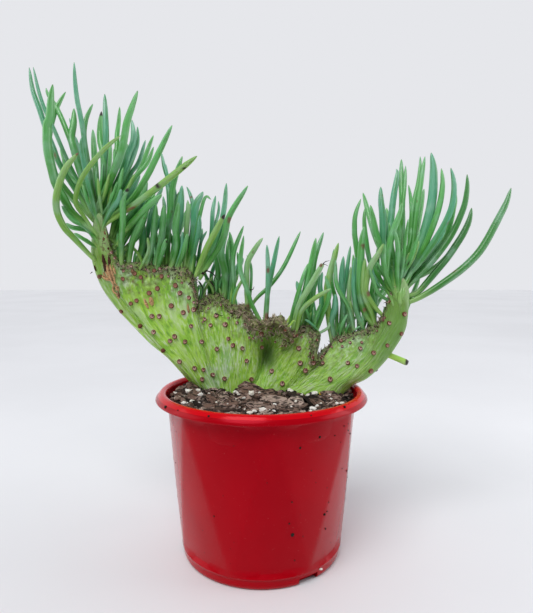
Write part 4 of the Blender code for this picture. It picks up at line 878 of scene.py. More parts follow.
def make_pot(context):
    """Drawn shell with a rolled rim, soft flat facets in its wall and drainage slots in its bottom corner."""
    settings = context.scene.chalk_pot
    high, rim, top, low, wall, floor = (
        getattr(settings, name) / MM for name in ("height", "rim", "top", "low", "wall", "floor"))
    foot, steps = low - 1.1, 40
    neck = 62.6
    rows = [(44, 0), (50.2, 0), (51.3, 0.2), (52.0, 0.8), (foot - 0.15, 1.9), (foot, 2.8), (foot + 0.1, 4.3),
            (foot + 0.3, 6.2), (foot + 0.5, 6.7), (low - 0.15, 7.0), (low, 7.5)]
    rows += [(low + (top - low) * k / steps, WALL_FOOT + WALL_RISE * k / steps) for k in range(1, steps + 1)]
    rows += [(top + 0.05, 104.3), (top + 0.1, 105.2), (top + 0.4, 105.9), (top + 1.0, 106.3),
             (top + 1.7, 106.2), (rim - 1.7, 104.7), (rim - 1.15, 104.15), (rim - 0.6, 104.0),
             (rim - 0.2, 104.15), (rim, 104.6), (rim - 0.2, 105.4), (rim - 1.6, 107.2), (rim - 2.6, 108.35),
             (rim - 3.0, 108.8), (rim - 3.5, high - 0.25), (rim - 4.1, high), (rim - 5.0, high),
             (rim - 5.8, high - 0.1), (rim - 6.4, high - 0.5), (rim - 6.8, high - 1.2),
             (rim - 7.1, high - 2.4), (63.0, 105.4), (neck, 104.4)]
    rows += [(low - wall + (neck - low + wall) * k / steps, 8.0 + 96.4 * k / steps)
             for k in range(steps - 1, 0, -1)]
    rows += [(low - wall, 8.0), (foot - wall - 0.2, 3.4), (foot - 3.4, floor), (20, floor)]
    pot = lathe("nursery_pot", rows, POT_SIDES)
    for vert in pot.data.vertices:
        x, y, z = (c / MM for c in vert.co)
        radius = math.hypot(x, y)
        if 7.5 < z < 103.5 and radius > 40:
            share = (z - WALL_FOOT) / WALL_RISE
            cone = low + (top - low) * share
            fade = smooth_step(0, 0.03, share) * smooth_step(1.005, 0.975, share) * settings.share
            if radius < cone - wall / 2:
                fade *= smooth_step(92, 80, z)
            flat = facet_radius(settings, math.atan2(y, x), min(max(share, 0), 1))
            shift = 1 + (flat - cone) * fade / radius
            vert.co.x *= shift
            vert.co.y *= shift
    for k in range(settings.slots):
        angle = SLOT_ANGLE + 2 * math.pi * k / settings.slots
        place = math.cos(angle) * SLOT_RADIUS, math.sin(angle) * SLOT_RADIUS, SLOT_LEVEL
        bpy.ops.object.select_all(action="DESELECT")
        bpy.ops.mesh.primitive_cube_add(size=1, rotation=(0, 0, angle), scale=[c * MM for c in SLOT_SIZE],
                                        location=[c * MM for c in place])
        slot = context.active_object
        cut = pot.modifiers.new("Slot", "BOOLEAN")
        cut.solver = "EXACT"
        cut.object = slot
        context.view_layer.objects.active = pot
        bpy.ops.object.modifier_apply(modifier=cut.name)
        bpy.data.objects.remove(slot, do_unlink=True)
    pot.select_set(True)
    bpy.ops.object.shade_smooth_by_angle(angle=math.radians(38))
    red = tuple(settings.red)
    pot.data.materials.clear()
    pot.data.materials.append(red_plastic("red_plastic_wall", red, 0.2, (1, 0.08, 0.14)))
    # The rim's red is the pot's red painted 1.6 times brighter: a painted lit copy of the wall's plastic.
    pot.data.materials.append(red_plastic("red_plastic_rim_painted_lit", tinted(red, 1.6, 1, 1), 0.14, (1, 0.2, 0.24)))
    for face in pot.data.polygons:
        face.material_index = 1 if face.center.z > RIM_FROM * MM else 0
    settle(pot, "pot")


# Potting mix

def mix_height(settings, x, y):
    """Uneven top of the potting mix: highest round the foot of the crest, and banked against the wall."""
    waves = 1.0 * math.sin(0.13 * x + 0.4) * math.cos(0.11 * y - 0.8) + 0.7 * math.sin(0.31 * x - 0.22 * y)
    heap = 1.8 * math.exp(-(((x - 4) / 44) ** 2 + ((y - 12) / 22) ** 2))
    radius = math.hypot(x, y)
    bank = smooth_step(38, 60, radius) * (0.8 + 0.9 * max(-x, 0) / 60 + 0.5 * max(y, 0) / 60)
    return settings.level / MM - 1.4 + waves + heap + bank


def make_bed(context):
    """Dark fines under the flakes, closed below."""
    settings = context.scene.chalk_mix
    rings, sides = 46, 120
    foot_radius, foot_level = 59.5, 92
    verts, foot = [], []
    for k in range(1, rings + 1):
        radius = settings.radius / MM * k / rings
        for n in range(sides):
            a = 2 * math.pi * n / sides
            x, y = radius * math.cos(a), radius * math.sin(a)
            bumps = rough((x, y, 3), 5) * 1.1, rough((x, y, 9), 1.8) * 0.7
            verts.append(Vector((x, y, mix_height(settings, x, y) - 1.6 + bumps[0] + bumps[1])))
            if k == 1:
                foot.append(Vector((foot_radius * math.cos(a), foot_radius * math.sin(a), foot_level)))
    faces = ring_faces(rings, sides)
    faces.append(tuple(range(sides)))
    faces.append(tuple(range(rings * sides, (rings + 1) * sides)))
    shape = Shape()
    shape.add(verts + foot, faces)
    settle(shape.build("soil_bed", fines_and_gap_shade()), "potting_mix")


def flake_form(seed):
    """One bark flake of unit length: a ragged disc drawn up in two uneven steps."""
    bpy.ops.object.select_all(action="DESELECT")
    bpy.ops.mesh.primitive_circle_add(vertices=8 + seed % 4, radius=0.5 * MM, fill_type="NGON")
    flake = bpy.context.active_object
    bpy.ops.object.mode_set(mode="EDIT")
    bpy.ops.mesh.select_all(action="SELECT")
    bpy.ops.transform.vertex_random(offset=0.13 * MM, seed=seed * 5 + 1)
    for rise, inset in ((0.07, 0.03), (0.06, 0.0), (0.03, 0.1), (0.05, 0.06)):
        bpy.ops.mesh.extrude_region_move(TRANSFORM_OT_translate={"value": (0, 0, rise * MM)})
        if inset:
            bpy.ops.transform.resize(value=(1 - inset * 2, 1 - inset * 2, 1))
        bpy.ops.transform.vertex_random(offset=0.022 * MM, seed=seed * 5 + 2)
    bpy.ops.mesh.select_all(action="SELECT")
    bpy.ops.mesh.normals_make_consistent(inside=False)
    bpy.ops.object.mode_set(mode="OBJECT")
    return form_of(flake)


def grain_form(seed):
    """One angular puffed grain of unit width."""
    bpy.ops.object.select_all(action="DESELECT")
    bpy.ops.mesh.primitive_ico_sphere_add(subdivisions=2, radius=0.5 * MM)
    grain = bpy.context.active_object
    bpy.ops.object.mode_set(mode="EDIT")
    bpy.ops.mesh.select_all(action="SELECT")
    bpy.ops.transform.vertex_random(offset=0.1 * MM, seed=seed * 3 + 1)
    bpy.ops.object.mode_set(mode="OBJECT")
    verts, faces = form_of(grain)
    shift = Vector((seed * 3.1, seed * 1.7, seed * 2.3))
    return [p * (1 + 0.5 * noise.noise(p * 2.2 + shift)) for p in verts], faces


def lying(lie, spin, size):
    """Matrix that scales a form, spins it and lays its top along a direction."""
    upright = lie.to_track_quat("Z", "Y").to_matrix()
    return upright @ Matrix.Rotation(spin, 3, "Z") @ Matrix.Diagonal(Vector(size))


def make_bark(context):
    """Bark in three sizes: crumbs, then flakes, then the large flakes that lie on top."""
    settings = context.scene.chalk_mix
    rng = random.Random(21)
    forms = [flake_form(seed) for seed in range(9)]
    shape = Shape("tone")
    golden = math.pi * (3 - math.sqrt(5))
    for count, low, high, lift in ((settings.crumbs, 1.6, 4.4, 0.0), (settings.flakes, 6.0, 14.0, 1.0)):
        for k in range(count):
            size = rng.uniform(low, high)
            radius = min(BARK_SPREAD * math.sqrt((k + 0.5) / count), BARK_LIMIT - size * 0.45)
            angle = k * golden + lift
            x, y = radius * math.cos(angle), radius * math.sin(angle)
            z = mix_height(settings, x, y) + lift * rng.uniform(-1.2, 1.0)
            slope = 0.6 if lift else 0.9
            lie = Vector((rng.uniform(-slope, slope), rng.uniform(-slope, slope) - 0.1, 1))
            thick = rng.uniform(6, 10) if lift else size * 2.2
            turn = lying(lie, rng.uniform(0, math.pi), (size, size * rng.uniform(0.42, 0.8), thick))
            shape.stamp(rng.choice(forms), Vector((x, y, z)), turn, tone=rng.random() ** 1.5)
    for x, y, z, size, wide, thick, lean, tone in BIG_FLAKES:
        turn = lying(Vector(lean), 0.05 * x + 0.02 * y, (size, wide, thick))
        shape.stamp(rng.choice(forms), Vector((x, y, z)), turn, tone=tone)
    settle(shape.build("bark_chips", pine_bark(settings), smooth=False), "potting_mix")


def make_perlite(context):
    """White grains where the photograph shows them, more by a rule, and one yellow grain."""
    settings = context.scene.chalk_mix
    rng = random.Random(8)
    tree = sight("bark_chips")
    forms = [grain_form(seed) for seed in range(8)]
    spots = []
    for x, z, size in PERLITE + (YELLOW_GRAIN,):
        place, _ = look_at(tree, x, z)
        if place is not None:
            out = max(1.0, math.hypot(place.x, place.y) / (GRAIN_LIMIT - size * 0.5))
            place = Vector((place.x / out, place.y / out, place.z + size * 0.15))
            spots.append((place, size * 1.12, 1.0 if (x, z, size) == YELLOW_GRAIN else rng.random() * 0.5))
    for k in range(settings.grains):
        radius, angle = GRAIN_SPREAD * math.sqrt((k + 0.5) / settings.grains), k * 2.4 + 1.9
        above = Vector((radius * math.cos(angle), radius * math.sin(angle), 130))
        place, _, _, _ = tree.ray_cast(above, Vector((0, 0, -1)))
        size = rng.uniform(0.9, 2.0) if rng.random() < 0.7 else rng.uniform(2.2, 4.0)
        if place is not None and place.z < GRAIN_TOP:
            spots.append((place - Vector((0, 0, size * 0.1)), size, rng.random() * 0.5))
    x, z, size = POT_GRAIN
    place, normal = look_at(sight("nursery_pot"), x, z)
    spots.append((place + normal * 0.6, size, 0.1))
    shape = Shape("tone")
    for place, size, tone in spots:
        turn = lying(Vector((rng.uniform(-0.4, 0.4), rng.uniform(-0.4, 0.4), 1)), rng.uniform(0, 6),
                     (size * 1.1, size * rng.uniform(0.65, 1.0), size * rng.uniform(0.5, 0.75)))
        shape.stamp(rng.choice(forms), place, turn, tone=tone)
    settle(shape.build("perlite_grains", puffed_perlite(settings), smooth=False), "potting_mix")


# Crest, as a formula: rib s runs from the mix to the ridge, and v goes up it from 0 to 1.

@functools.lru_cache(maxsize=None)
def side_bend(left, v):
    """How far a side outline stands out from the straight line between its ends."""
    points = [Vector((x, 0, z)) for x, z in (LEFT_SIDE if left else RIGHT_SIDE)]
    return along(points, v) - points[0].lerp(points[-1], v)


@functools.lru_cache(maxsize=None)
def rib_foot(i):
    """Where rib i leaves the mix. The ribs crowd toward the left."""
    share = (RIDGE[i][0] - RIDGE[0][0]) / (RIDGE[-1][0] - RIDGE[0][0])
    x = FOOT_LEFT + (FOOT_RIGHT - FOOT_LEFT) * max(share, 0.0) ** 1.7
    if i and x < rib_foot(i - 1) + 0.5:
        x = rib_foot(i - 1) + 0.5
    return min(x, FOOT_RIGHT - 0.5 * (LAST - i))


@functools.lru_cache(maxsize=None)
def rib(s):
    """Foot x and ridge point (x, z, depth) of rib s, rounded a little between the given ones. The ridge lies
    a little under the solid's, because its bristles stand up to there."""
    i = min(int(s), LAST - 1)
    f = s - i
    foot = rib_foot(i) + (rib_foot(i + 1) - rib_foot(i)) * f
    p0, p1, p2, p3 = (Vector(RIDGE[min(max(k, 0), LAST)]) for k in (i - 1, i, i + 1, i + 2))
    point = p1.lerp(p2, f).lerp(curve_at(p0, p1, p2, p3, f), 0.6)
    point.y -= table(RIDGE_DROP, s)
    return foot, point


@functools.lru_cache(maxsize=None)
def crest_mid(s, v):
    """Middle of the crest's thickness on rib s at height share v, at its own depth."""
    foot_x, (x, z, top) = rib(s)
    base = FOOT_DEPTH[0] + (FOOT_DEPTH[1] - FOOT_DEPTH[0]) * (foot_x - FOOT_LEFT) / (FOOT_RIGHT - FOOT_LEFT)
    left = max(0.0, 1 - (x - LEFT_EDGE) / 90) ** 1.6
    right = max(0.0, 1 - (RIGHT_EDGE - x) / 70) ** 1.4
    p = Vector((foot_x, 0, FOOT_LEVEL)).lerp(Vector((x, 0, z)), v)
    p += side_bend(True, v) * left + side_bend(False, v) * right
    hollow = HOLLOW_DEPTH * math.exp(-((x - HOLLOW_X) / HOLLOW_WIDE) ** 2)
    return seen(p.x, p.z, base + (top - base) * v ** 4 + hollow * 4 * v * (1 - v))


@functools.lru_cache(maxsize=None)
def crest_edge(s, v):
    """Distance to the nearer side outline at the same height share."""
    p = crest_mid(s, v)
    return min((p - crest_mid(0, v)).length, (p - crest_mid(LAST, v)).length)


def rib_length(s):
    """Straight length of rib s, from the mix to the ridge."""
    return max((crest_mid(s, 1.0) - crest_mid(s, 0.0)).length, 1)


def crest_normal(s, v):
    """Unit normal of the crest's middle sheet, toward the viewer. It turns to the line of sight near the
    sides, so that the sides end on their outlines."""
    across = crest_mid(min(s + 2, LAST), v) - crest_mid(max(s - 2, 0), v)
    up = crest_mid(s, min(v + 0.1, 1)) - crest_mid(s, max(v - 0.1, 0))
    n = across.cross(up).normalized()
    if n.y > 0:
        n = -n
    n.y = min(n.y, -0.55)
    n.z *= 0.5
    sight_line = (VIEW - crest_mid(s, v)).normalized()
    return sight_line.lerp(n, smooth_step(3, 34, crest_edge(s, v))).normalized()


def crest_half(s, v):
    """Half thickness, rounded off toward both side outlines."""
    x = rib(s)[1].x
    arm = max(0.0, 1 - (x - LEFT_EDGE) / 24, 1 - (RIGHT_EDGE - x) / 20)
    full = FOOT_THICK + (RIDGE_THICK + (ARM_THICK - RIDGE_THICK) * min(arm, 1) - FOOT_THICK) * v ** 0.8
    inset = 1 - min(crest_edge(s, v) / (full * 0.55), 1)
    return full / 2 * math.sqrt(max(1 - inset * inset, 0))


def crest_row(v, columns):
    """Corners round the crest at height share v, front from left to right and back again, each with its rib
    and its distance to the ridge."""
    front, back = [], []
    steps = LAST * columns
    for k in range(steps + 1):
        s = k / columns
        p = crest_mid(s, v)
        if k in (0, steps):
            front.append((p, s, 0.0))
            continue
        n = crest_normal(s, v)
        half = crest_half(s, v)
        wave = rough((s * 2.1, v * 3.0, 0), 1) * 0.5 + rough((s * 5.3, v * 4.0, 7), 1) * 0.22
        near = (crest_mid(s, 1.0) - p).length
        lump = smooth_step(table(CRUST_BAND, s), 0, near) * (rough(p, 1.7) * 0.7 + rough(p, 4) * 0.5)
        room = min(half / 3, 1)
        front.append((p + n * (half + (wave + lump) * room), s, near))
        back.append((p - n * (half + (wave * 0.8 + lump) * room), s, near))
    return front + back[::-1]


def crest_loops(settings):
    """Rings of corners from the buried foot over the ridge, and the height share of each."""
    mid_x, mid_y = FOOT_MIDDLE
    foot = [(Vector((mid_x + (p.x - mid_x) * FOOT_SHRINK, mid_y + (p.y - mid_y) * FOOT_SHRINK,
                     p.z - BURIED * 0.5)), s, near)
            for p, s, near in crest_row(0.0, settings.columns)]
    shares = [0.0] + [(k / settings.rows) ** 0.92 for k in range(settings.rows + 1)]
    loops = [foot] + [crest_row(v, settings.columns) for v in shares[1:]]
    top, under = loops[-1], loops[-2]
    count = len(top)
    for t in (0.35, 0.62, 0.84, 0.97):
        row = []
        for k in range(count):
            p, s, _ = top[k]
            rise = (p - under[k][0]).normalized() * 1.5 * math.sin(t * math.pi / 2)
            inward = p.lerp(top[(count - k) % count][0], 0.5 * (1 - math.cos(t * math.pi / 2)))
            row.append((inward + rise + Vector((0, 0, rough(p, 1.5) * 0.6)), s, 0.0))
        loops.append(row)
        shares.append(1.0)
    return loops, shares


def skin_values(p, s, near, v):
    """What the stem's material is told at a corner, in the order of STEM_VALUES."""
    band = table(CRUST_BAND, s)
    edge = 0.0
    if v > 0.2:
        edge = (1 - smooth_step(0, band, near + rough(p, 3) * 1.5)) * smooth_step(0.5, 3, band)
    x, z = flat_of(p)
    olive = (1 - smooth_step(band * 0.8, band + 26, near)) * smooth_step(0.25, 0.6, v) * table(OLIVE_SHARE, s)
    # Fold: a dark patch painted as shade in the hollow under the ear.
    fold_shade = math.exp(-((x - 5 + (z - 128) * 0.1) / 6) ** 2 - ((z - 131) / 12) ** 2)
    tip = smooth_step(0.8, 0.97, v) * max(smooth_step(4.5, 2, s), smooth_step(39, 41.5, s))
    rust = 0.85 * math.exp(-((x + 102) / 5) ** 2 - ((z - 206) / 11) ** 2)
    return edge, olive, edge * table(CRUST_BROWN, s), fold_shade, tip, rust


def scar_spots(tree):
    """Place, normal, size and tone of each leaf scar: the ones that show, some at the back, and small ones
    under the ridge."""
    rng = random.Random(4)
    spots = []
    for x, z in SCARS:
        place, normal = look_at(tree, x, z)
        if place is not None:
            size = rng.uniform(1.4, 1.9)
            spots.append((place, normal, size, 0.1 if x < -55 and z > 160 else rng.uniform(0.35, 1.0)))
    for k in range(BACK_SCARS):
        x = -92 + 176 * ((k * 0.618 + 0.3) % 1)
        z = 116 + 64 * ((k + 0.5) / BACK_SCARS) * (0.4 + 0.6 * abs(x) / 92)
        place, normal, _, _ = tree.ray_cast(Vector((x, 200, z)), Vector((0, -1, 0)))
        if place is not None:
            spots.append((place, normal, rng.uniform(1.3, 1.8), rng.uniform(0.4, 1)))
    for k in range(RIDGE_SCARS):
        s = 4 + 36 * ((k * 0.618) % 1)
        reach = table(CRUST_BAND, s) * 1.5
        share = 1 - (rng.random() * reach + 0.8) / rib_length(s)
        place, normal = look_at(tree, *flat_of(crest_mid(s, share)))
        if place is not None:
            spots.append((place, normal, rng.uniform(0.7, 1.2), rng.uniform(0.5, 1.3)))
    return spots


def make_stem(context):
    """The flattened stem: a fine loft up the ribs with furrows, a rough ridge and a raised cushion under each
    leaf scar. Gives the places of the scars."""
    settings = context.scene.chalk_plant
    loops, shares = crest_loops(settings)
    count = len(loops[0])
    verts = [p for row in loops for p, _, _ in row]
    told = [skin_values(*corner, v) for row, v in zip(loops, shares) for corner in row]
    values = {name: list(column) for name, column in zip(STEM_VALUES, zip(*told))}
    faces, uvs = ring_faces(len(loops) - 1, count), []
    ways = [s / LAST for _, s, _ in loops[0]]
    for low, high in zip(shares, shares[1:]):
        for a, b in zip(ways, ways[1:] + ways[:1]):
            uvs += [(a, low), (b, low), (b, high), (a, high)]
    for start in (0, (len(loops) - 1) * count):
        for k in range(count // 2):
            quad = (start + k, start + k + 1, start + count - k - 1, start + (count - k) % count)
            corners = tuple(dict.fromkeys(quad))
            if len(corners) > 2:
                faces.append(corners)
                uvs += [(ways[k], 0.5)] * len(corners)

    spots = scar_spots(BVHTree.FromPolygons(verts, faces))
    for place, normal, size, _ in spots:
        for k, p in enumerate(verts):
            away = (p - place).length
            if away < size * 2.1:
                verts[k] = p + normal * 0.6 * (1 - smooth_step(0.5, size * 2.1, away))
    shape = Shape(*STEM_VALUES)
    shape.add(verts, faces, uvs, **values)
    settle(shape.build("crested_stem", stem_skin(settings)), "chalk_sticks")
    return spots


def make_scars(spots):
    """Small corky knobs with a flat face and a pit, where old leaves dropped."""
    rows = ((1.0, -0.7), (1.0, 0.1), (0.95, 0.42), (0.82, 0.62), (0.66, 0.66), (0.46, 0.6), (0.24, 0.54))
    verts, faces = form_of(lathe("scar", rows, 14))
    centre, sunk = Vector((0.1, 0.3)), Vector((0, 0, 0.12))
    verts = [p - sunk if (p.xy - centre).length < 0.4 and p.z > 0.5 else p for p in verts]
    face = [smooth_step(1.0, 0.45, p.xy.length) if p.z > 0 else 0.0 for p in verts]
    pit = [1 - smooth_step(0.15, 0.5, (p.xy - centre).length) if p.z > 0 else 0.0 for p in verts]
    shape = Shape(*SCAR_VALUES)
    rng = random.Random(14)
    for place, normal, size, tone in spots:
        turn = lying(normal, rng.uniform(-0.7, 0.7), (size * rng.uniform(0.88, 1.05), size, size * 0.9))
        shape.stamp((verts, faces), place + normal * 0.55, turn, tone=tone * rng.uniform(0.75, 1.0),
                    face=face, pit=[value * (0.25 + 0.75 * tone) for value in pit])
    settle(shape.build("leaf_scars", corky_scar()), "chalk_sticks")


# Leaves

def ridge_depth(x, z):
    """Depth of the ridge point nearest to a leaf root."""
    return min(RIDGE, key=lambda r: (r[0] - x) ** 2 + (r[1] - z) ** 2)[2]


def stalk(lean, flat_points):
    """Centre points of a leaf whose root is sunk into what it grows from."""
    y0 = ridge_depth(*flat_points[0]) + max(-4.0, min(4.0, lean * 0.3))
    last = len(flat_points) - 1
    points = [seen(x, z, y0 + lean * (k / last) ** 1.3) for k, (x, z) in enumerate(flat_points)]
    points[0] += (points[0] - points[1]).normalized() * 2.5
    return points


def sheath(tree, flat_points, points, middle, drop):
    """Run a leaf of an arm's tip down the arm, along the skin that faces the viewer, where its base clasps
    it."""
    x, z = flat_points[0]
    start = []
    for share, sink in ((1.0, 0.7), (0.5, 0.0)):
        place, normal = look_at(tree, x + (middle - x) * 0.4 * share, z - drop * share)
        if place is None:
            return points, False
        start.append(place - normal * sink)
    return start + points[1:], True


def up_line(x, z, tilt, length, low, rise, turn):
    """Three points (x, z) of a leaf that stands on the ridge and turns outward toward its tip."""
    return ((x, z), (x + math.sin(tilt) * length * low, z + length * rise),
            (x + math.sin(tilt * turn) * length, z + length * math.cos(tilt)))


def fan_line(x, z, tilt, length):
    """Three points (x, z) of a leaf in the fan at an arm's tip."""
    return ((x, z), (x + math.sin(tilt) * length * 0.5, z + math.cos(tilt) * length * 0.5),
            (x + math.sin(tilt * 0.8) * length, z + math.cos(tilt * 0.8) * length))


def fill_leaves():
    """Lesser leaves between and behind the ones in the list, by a rule along the ridge."""
    rng = random.Random(11)
    rows = []
    for first, last, count, low, high in ((6, 10, 7, 34, 46), (14, 17, 4, 26, 36), (27, 29, 3, 26, 34),
                                          (34, 37, 5, 30, 42)):
        for k in range(count):
            s = first + (last - first) * (k + rng.uniform(0.2, 0.8)) / count
            a, b = RIDGE[int(s)], RIDGE[int(s) + 1]
            x = a[0] + (b[0] - a[0]) * (s % 1)
            z = a[1] + (b[1] - a[1]) * (s % 1) - 1
            tilt = math.radians(rng.uniform(-12, 20) + 0.1 * x)
            length = rng.uniform(low, high)
            rows.append((rng.uniform(3.0, 4.2), rng.uniform(14, 38),
                         up_line(x, z, tilt, length, 0.5, 0.52, 1.5)))
    for x, z, turn in ((-106, 219, -4), (92, 178, 16)):
        for k in range(HEAD_FILL):
            tilt = math.radians(turn + 52 * ((k + 0.5) / HEAD_FILL * 2 - 1))
            length = rng.uniform(50, 68)
            rows.append((rng.uniform(3.2, 4.2), rng.uniform(26, 48), fan_line(x, z, tilt, length)))
    return rows


def young_leaves(count):
    """Thin short leaves among the roots of the grown ones, by a rule along the ridge and round both heads."""
    rng = random.Random(31)
    rows = []
    for k in range(count):
        s = 4.5 + 12.5 * k / (count * 0.62) if k < count * 0.62 else 26.5 + 13 * (k / count - 0.62) / 0.38
        if 28.6 < s < 33.6:
            continue
        x, z, _ = rib(round(s, 2))[1]
        z -= rng.uniform(0, 5)
        tilt = math.radians(rng.uniform(-16, 20) + 0.12 * x)
        length = rng.uniform(7, 26)
        rows.append((0.9 + length * 0.055, rng.uniform(-4, 8), up_line(x, z, tilt, length, 0.4, 0.5, 1.6)))
    for x, z, turn in ((-106, 221, 6), (90, 180, -6)):
        for k in range(14):
            tilt = math.radians(turn + rng.uniform(-48, 48))
            length = rng.uniform(16, 38)
            root = x + rng.uniform(-4, 4), z + rng.uniform(-3, 3)
            rows.append((rng.uniform(1.8, 2.8), rng.uniform(-8, 6), fan_line(*root, tilt, length)))
    return rows


def make_leaves(context):
    """All the leaves, one piece for each tone, with their brown marks."""
    settings = context.scene.chalk_plant
    tree = sight("crested_stem")
    rng = random.Random(2)
    rows = []
    for tone, width, lean, *flat in LEAVES:
        points, clasps = stalk(lean, pairs(flat)), False
        if lean < 15 and flat[0] > RIGHT_HEAD[0] and flat[1] > RIGHT_HEAD[1]:
            points, clasps = sheath(tree, pairs(flat), points, RIGHT_MIDDLE, rng.uniform(7, 16))
        elif lean < 0 and flat[0] < LEFT_HEAD[0] and flat[1] > LEFT_HEAD[1]:
            points, clasps = sheath(tree, pairs(flat), points, LEFT_MIDDLE, rng.uniform(3, 9))
        profile = CUT_PROFILE if tone == "cut" else SHEATH_PROFILE if clasps else LEAF_PROFILE
        rows.append(("pale" if tone == "cut" else tone, width, points, GROWN_RINGS, profile))
    for width, lean, flat in fill_leaves():
        tone = rng.choice(("blue", "green", "green"))
        rows.append((tone, width, stalk(lean, flat), FILL_RINGS, LEAF_PROFILE))
    for width, lean, flat in young_leaves(settings.young):
        tone = rng.choice(("green", "green", "olive"))
        rows.append((tone, width, stalk(lean, flat), YOUNG_RINGS, LEAF_PROFILE))

    marked = {}
    for x, z, reach, kind in MARKS:
        best = None
        for k, (_, width, points, rings, _) in enumerate(rows):
            for p in line_of(points, rings):
                fx, fz = flat_of(p)
                if math.hypot(fx - x, fz - z) < width * 0.55 + 0.8 and (best is None or p.y < best[0]):
                    best = (p.y, k)
        if best:
            marked.setdefault(best[1], []).append((x, z, reach, kind))

    def mark(own, kind, p):
        """How strongly a corner shows a leaf's marks of one kind."""
        fx, fz = flat_of(p)
        return max((1 - smooth_step(reach * 0.45, reach, math.hypot(fx - x, fz - z))
                    for x, z, reach, what in own if what == kind), default=0.0)

    shapes = {name: Shape(*LEAF_VALUES) for name in ("blue", "green", "deep", "olive", "pale")}
    for k, (tone, width, points, rings, profile) in enumerate(rows):
        shares = [1 - (1 - n / (rings - 1)) ** 1.25 for n in range(rings)]
        own = marked.get(k, ())
        marks = {kind: functools.partial(mark, own, kind) for kind in ("dark", "rust")}
        radii = [width * LEAF_HALF * table(profile, t) for t in shares]
        shapes[tone].tube([along(points, t) for t in shares], radii, 14 if rings > YOUNG_RINGS else 7,
                          rng.uniform(0.82, 0.96), rng.uniform(0, 6.3), seed=rng.random(), **marks)
    for name, shape in shapes.items():
        tone = tuple(getattr(settings, name))
        low = srgb("#448a29") if name in ("blue", "green") else tinted(tone, 0.7, 0.8, 0.5)
        settle(shape.build("leaves_" + name, leaf_skin(name, tone, low)), "chalk_sticks")


# Ridge and dry bits

def hook_form(seed):
    """One dry hooked leaf base of unit length."""
    rng = random.Random(seed)
    bend = Vector((rng.uniform(0.1, 0.4), rng.uniform(-0.2, 0.2), 0))
    points = [Vector((0, 0, rise)) + bend * share
              for rise, share in ((-0.2, 0), (0.4, 0.3), (0.75, 1), (0.9, 2))]
    shape = Shape()
    shape.tube(line_of(points, 6), [0.13, 0.15, 0.13, 0.1, 0.07, 0.03], sides=5, squash=0.6)
    return shape.verts, shape.faces


def make_bristles(context):
    """Dry hooked leaf bases and bristles that crowd the growing ridge."""
    rng = random.Random(6)
    forms = [hook_form(seed) for seed in range(6)]
    shape = Shape("tone")
    for _ in range(context.scene.chalk_plant.bristles):
        s = round(rng.uniform(4, 40.5), 1)
        band = table(CRUST_BAND, s)
        if rng.random() > (band + 3) / 16:
            continue
        depth = band * rng.random() ** 1.2
        v = round(max(0.0, 1 - depth / rib_length(s)), 2)
        side = rng.choice((1, 1, -1))
        out = crest_normal(s, v) * side
        root = crest_mid(s, v) + out * crest_half(s, v) * rng.uniform(0.6, 1.0)
        if depth < 1.5:
            root = crest_mid(s, 1.0) + out * crest_half(s, 1.0) * rng.uniform(0, 0.9) + Vector((0, 0, 0.6))
        way = out * rng.uniform(0.3, 1.1) + Vector((rng.uniform(-0.8, 0.8), 0, rng.uniform(-0.2, 1.2)))
        brown = table(CRUST_BROWN, s)
        size = rng.uniform(1.2, 3.0) + rng.uniform(0, 1.6) * brown
        shape.stamp(rng.choice(forms), root, lying(way, rng.uniform(0, 6.3), (size, size, size)),
                    tone=rng.random() ** (1.6 - 0.9 * brown))
    skin = dry_tissue("dry_bristle", "#3a2c22", "#cbbb9f", 900.0)
    settle(shape.build("ridge_bristles", skin), "chalk_sticks")


def make_dry_bits(context):
    """Black dry threads, the healed wound, the cut stub and the curled scraps by the ear."""
    tree = sight("crested_stem")
    rng = random.Random(9)
    threads = Shape("tone")
    for thick, depth, *flat in THREADS:
        threads.tube(line_of([seen(x, z, depth) for x, z in pairs(flat)], 13),
                     [thick * (1 - 0.75 * k / 12) * rng.uniform(0.8, 1.2) for k in range(13)], sides=6,
                     tone=rng.random() * 0.5)
    black = dry_tissue("black_thread", "#15100d", "#4a3a2a", 1200.0)
    settle(threads.build("dry_threads", black), "chalk_sticks")

    scabs = Shape("tone")
    for thick, tone, *flat in SCABS:
        spots = [look_at(tree, x, z) for x, z in pairs(flat)]
        points = [place + normal * thick * 0.25 for place, normal in spots if place is not None]
        if len(points) > 1:
            radii = [thick * 1.85 * math.sin(math.pi * (0.12 + 0.76 * k / 16)) * rng.uniform(0.8, 1.2)
                     for k in range(17)]
            scabs.tube(line_of(points, 17), radii, sides=8, squash=0.8, tone=tone)
    cork = dry_tissue("corky_scab", "#4a2c1e", "#d2a878", 700.0)
    settle(scabs.build("stem_scabs", cork), "chalk_sticks")

    stub = Shape(*LEAF_VALUES)
    stub.tube(line_of([seen(80, 133.5, 6), seen(90, 129.5, 6), seen(98, 126, 5)], 14),
              [1.9 + 0.02 * k for k in range(13)] + [1.7], sides=12, seed=0.1,
              dark=lambda p: smooth_step(95.6, 97.2, flat_of(p)[0]))
    for flat in ((17, 150.5, 19.5, 152, 21, 154.5, 23, 154), (16, 152, 17.6, 154.5, 18.6, 158)):
        stub.tube(line_of([seen(x, z, -2) for x, z in pairs(flat)], 9),
                  [0.7, 0.8, 0.8, 0.7, 0.65, 0.6, 0.5, 0.4, 0.2], sides=7, seed=0.5, rust=0.2)
    green = srgb("#a9d94e")
    settle(stub.build("cut_stub", leaf_skin("stub", green, green)), "chalk_sticks")


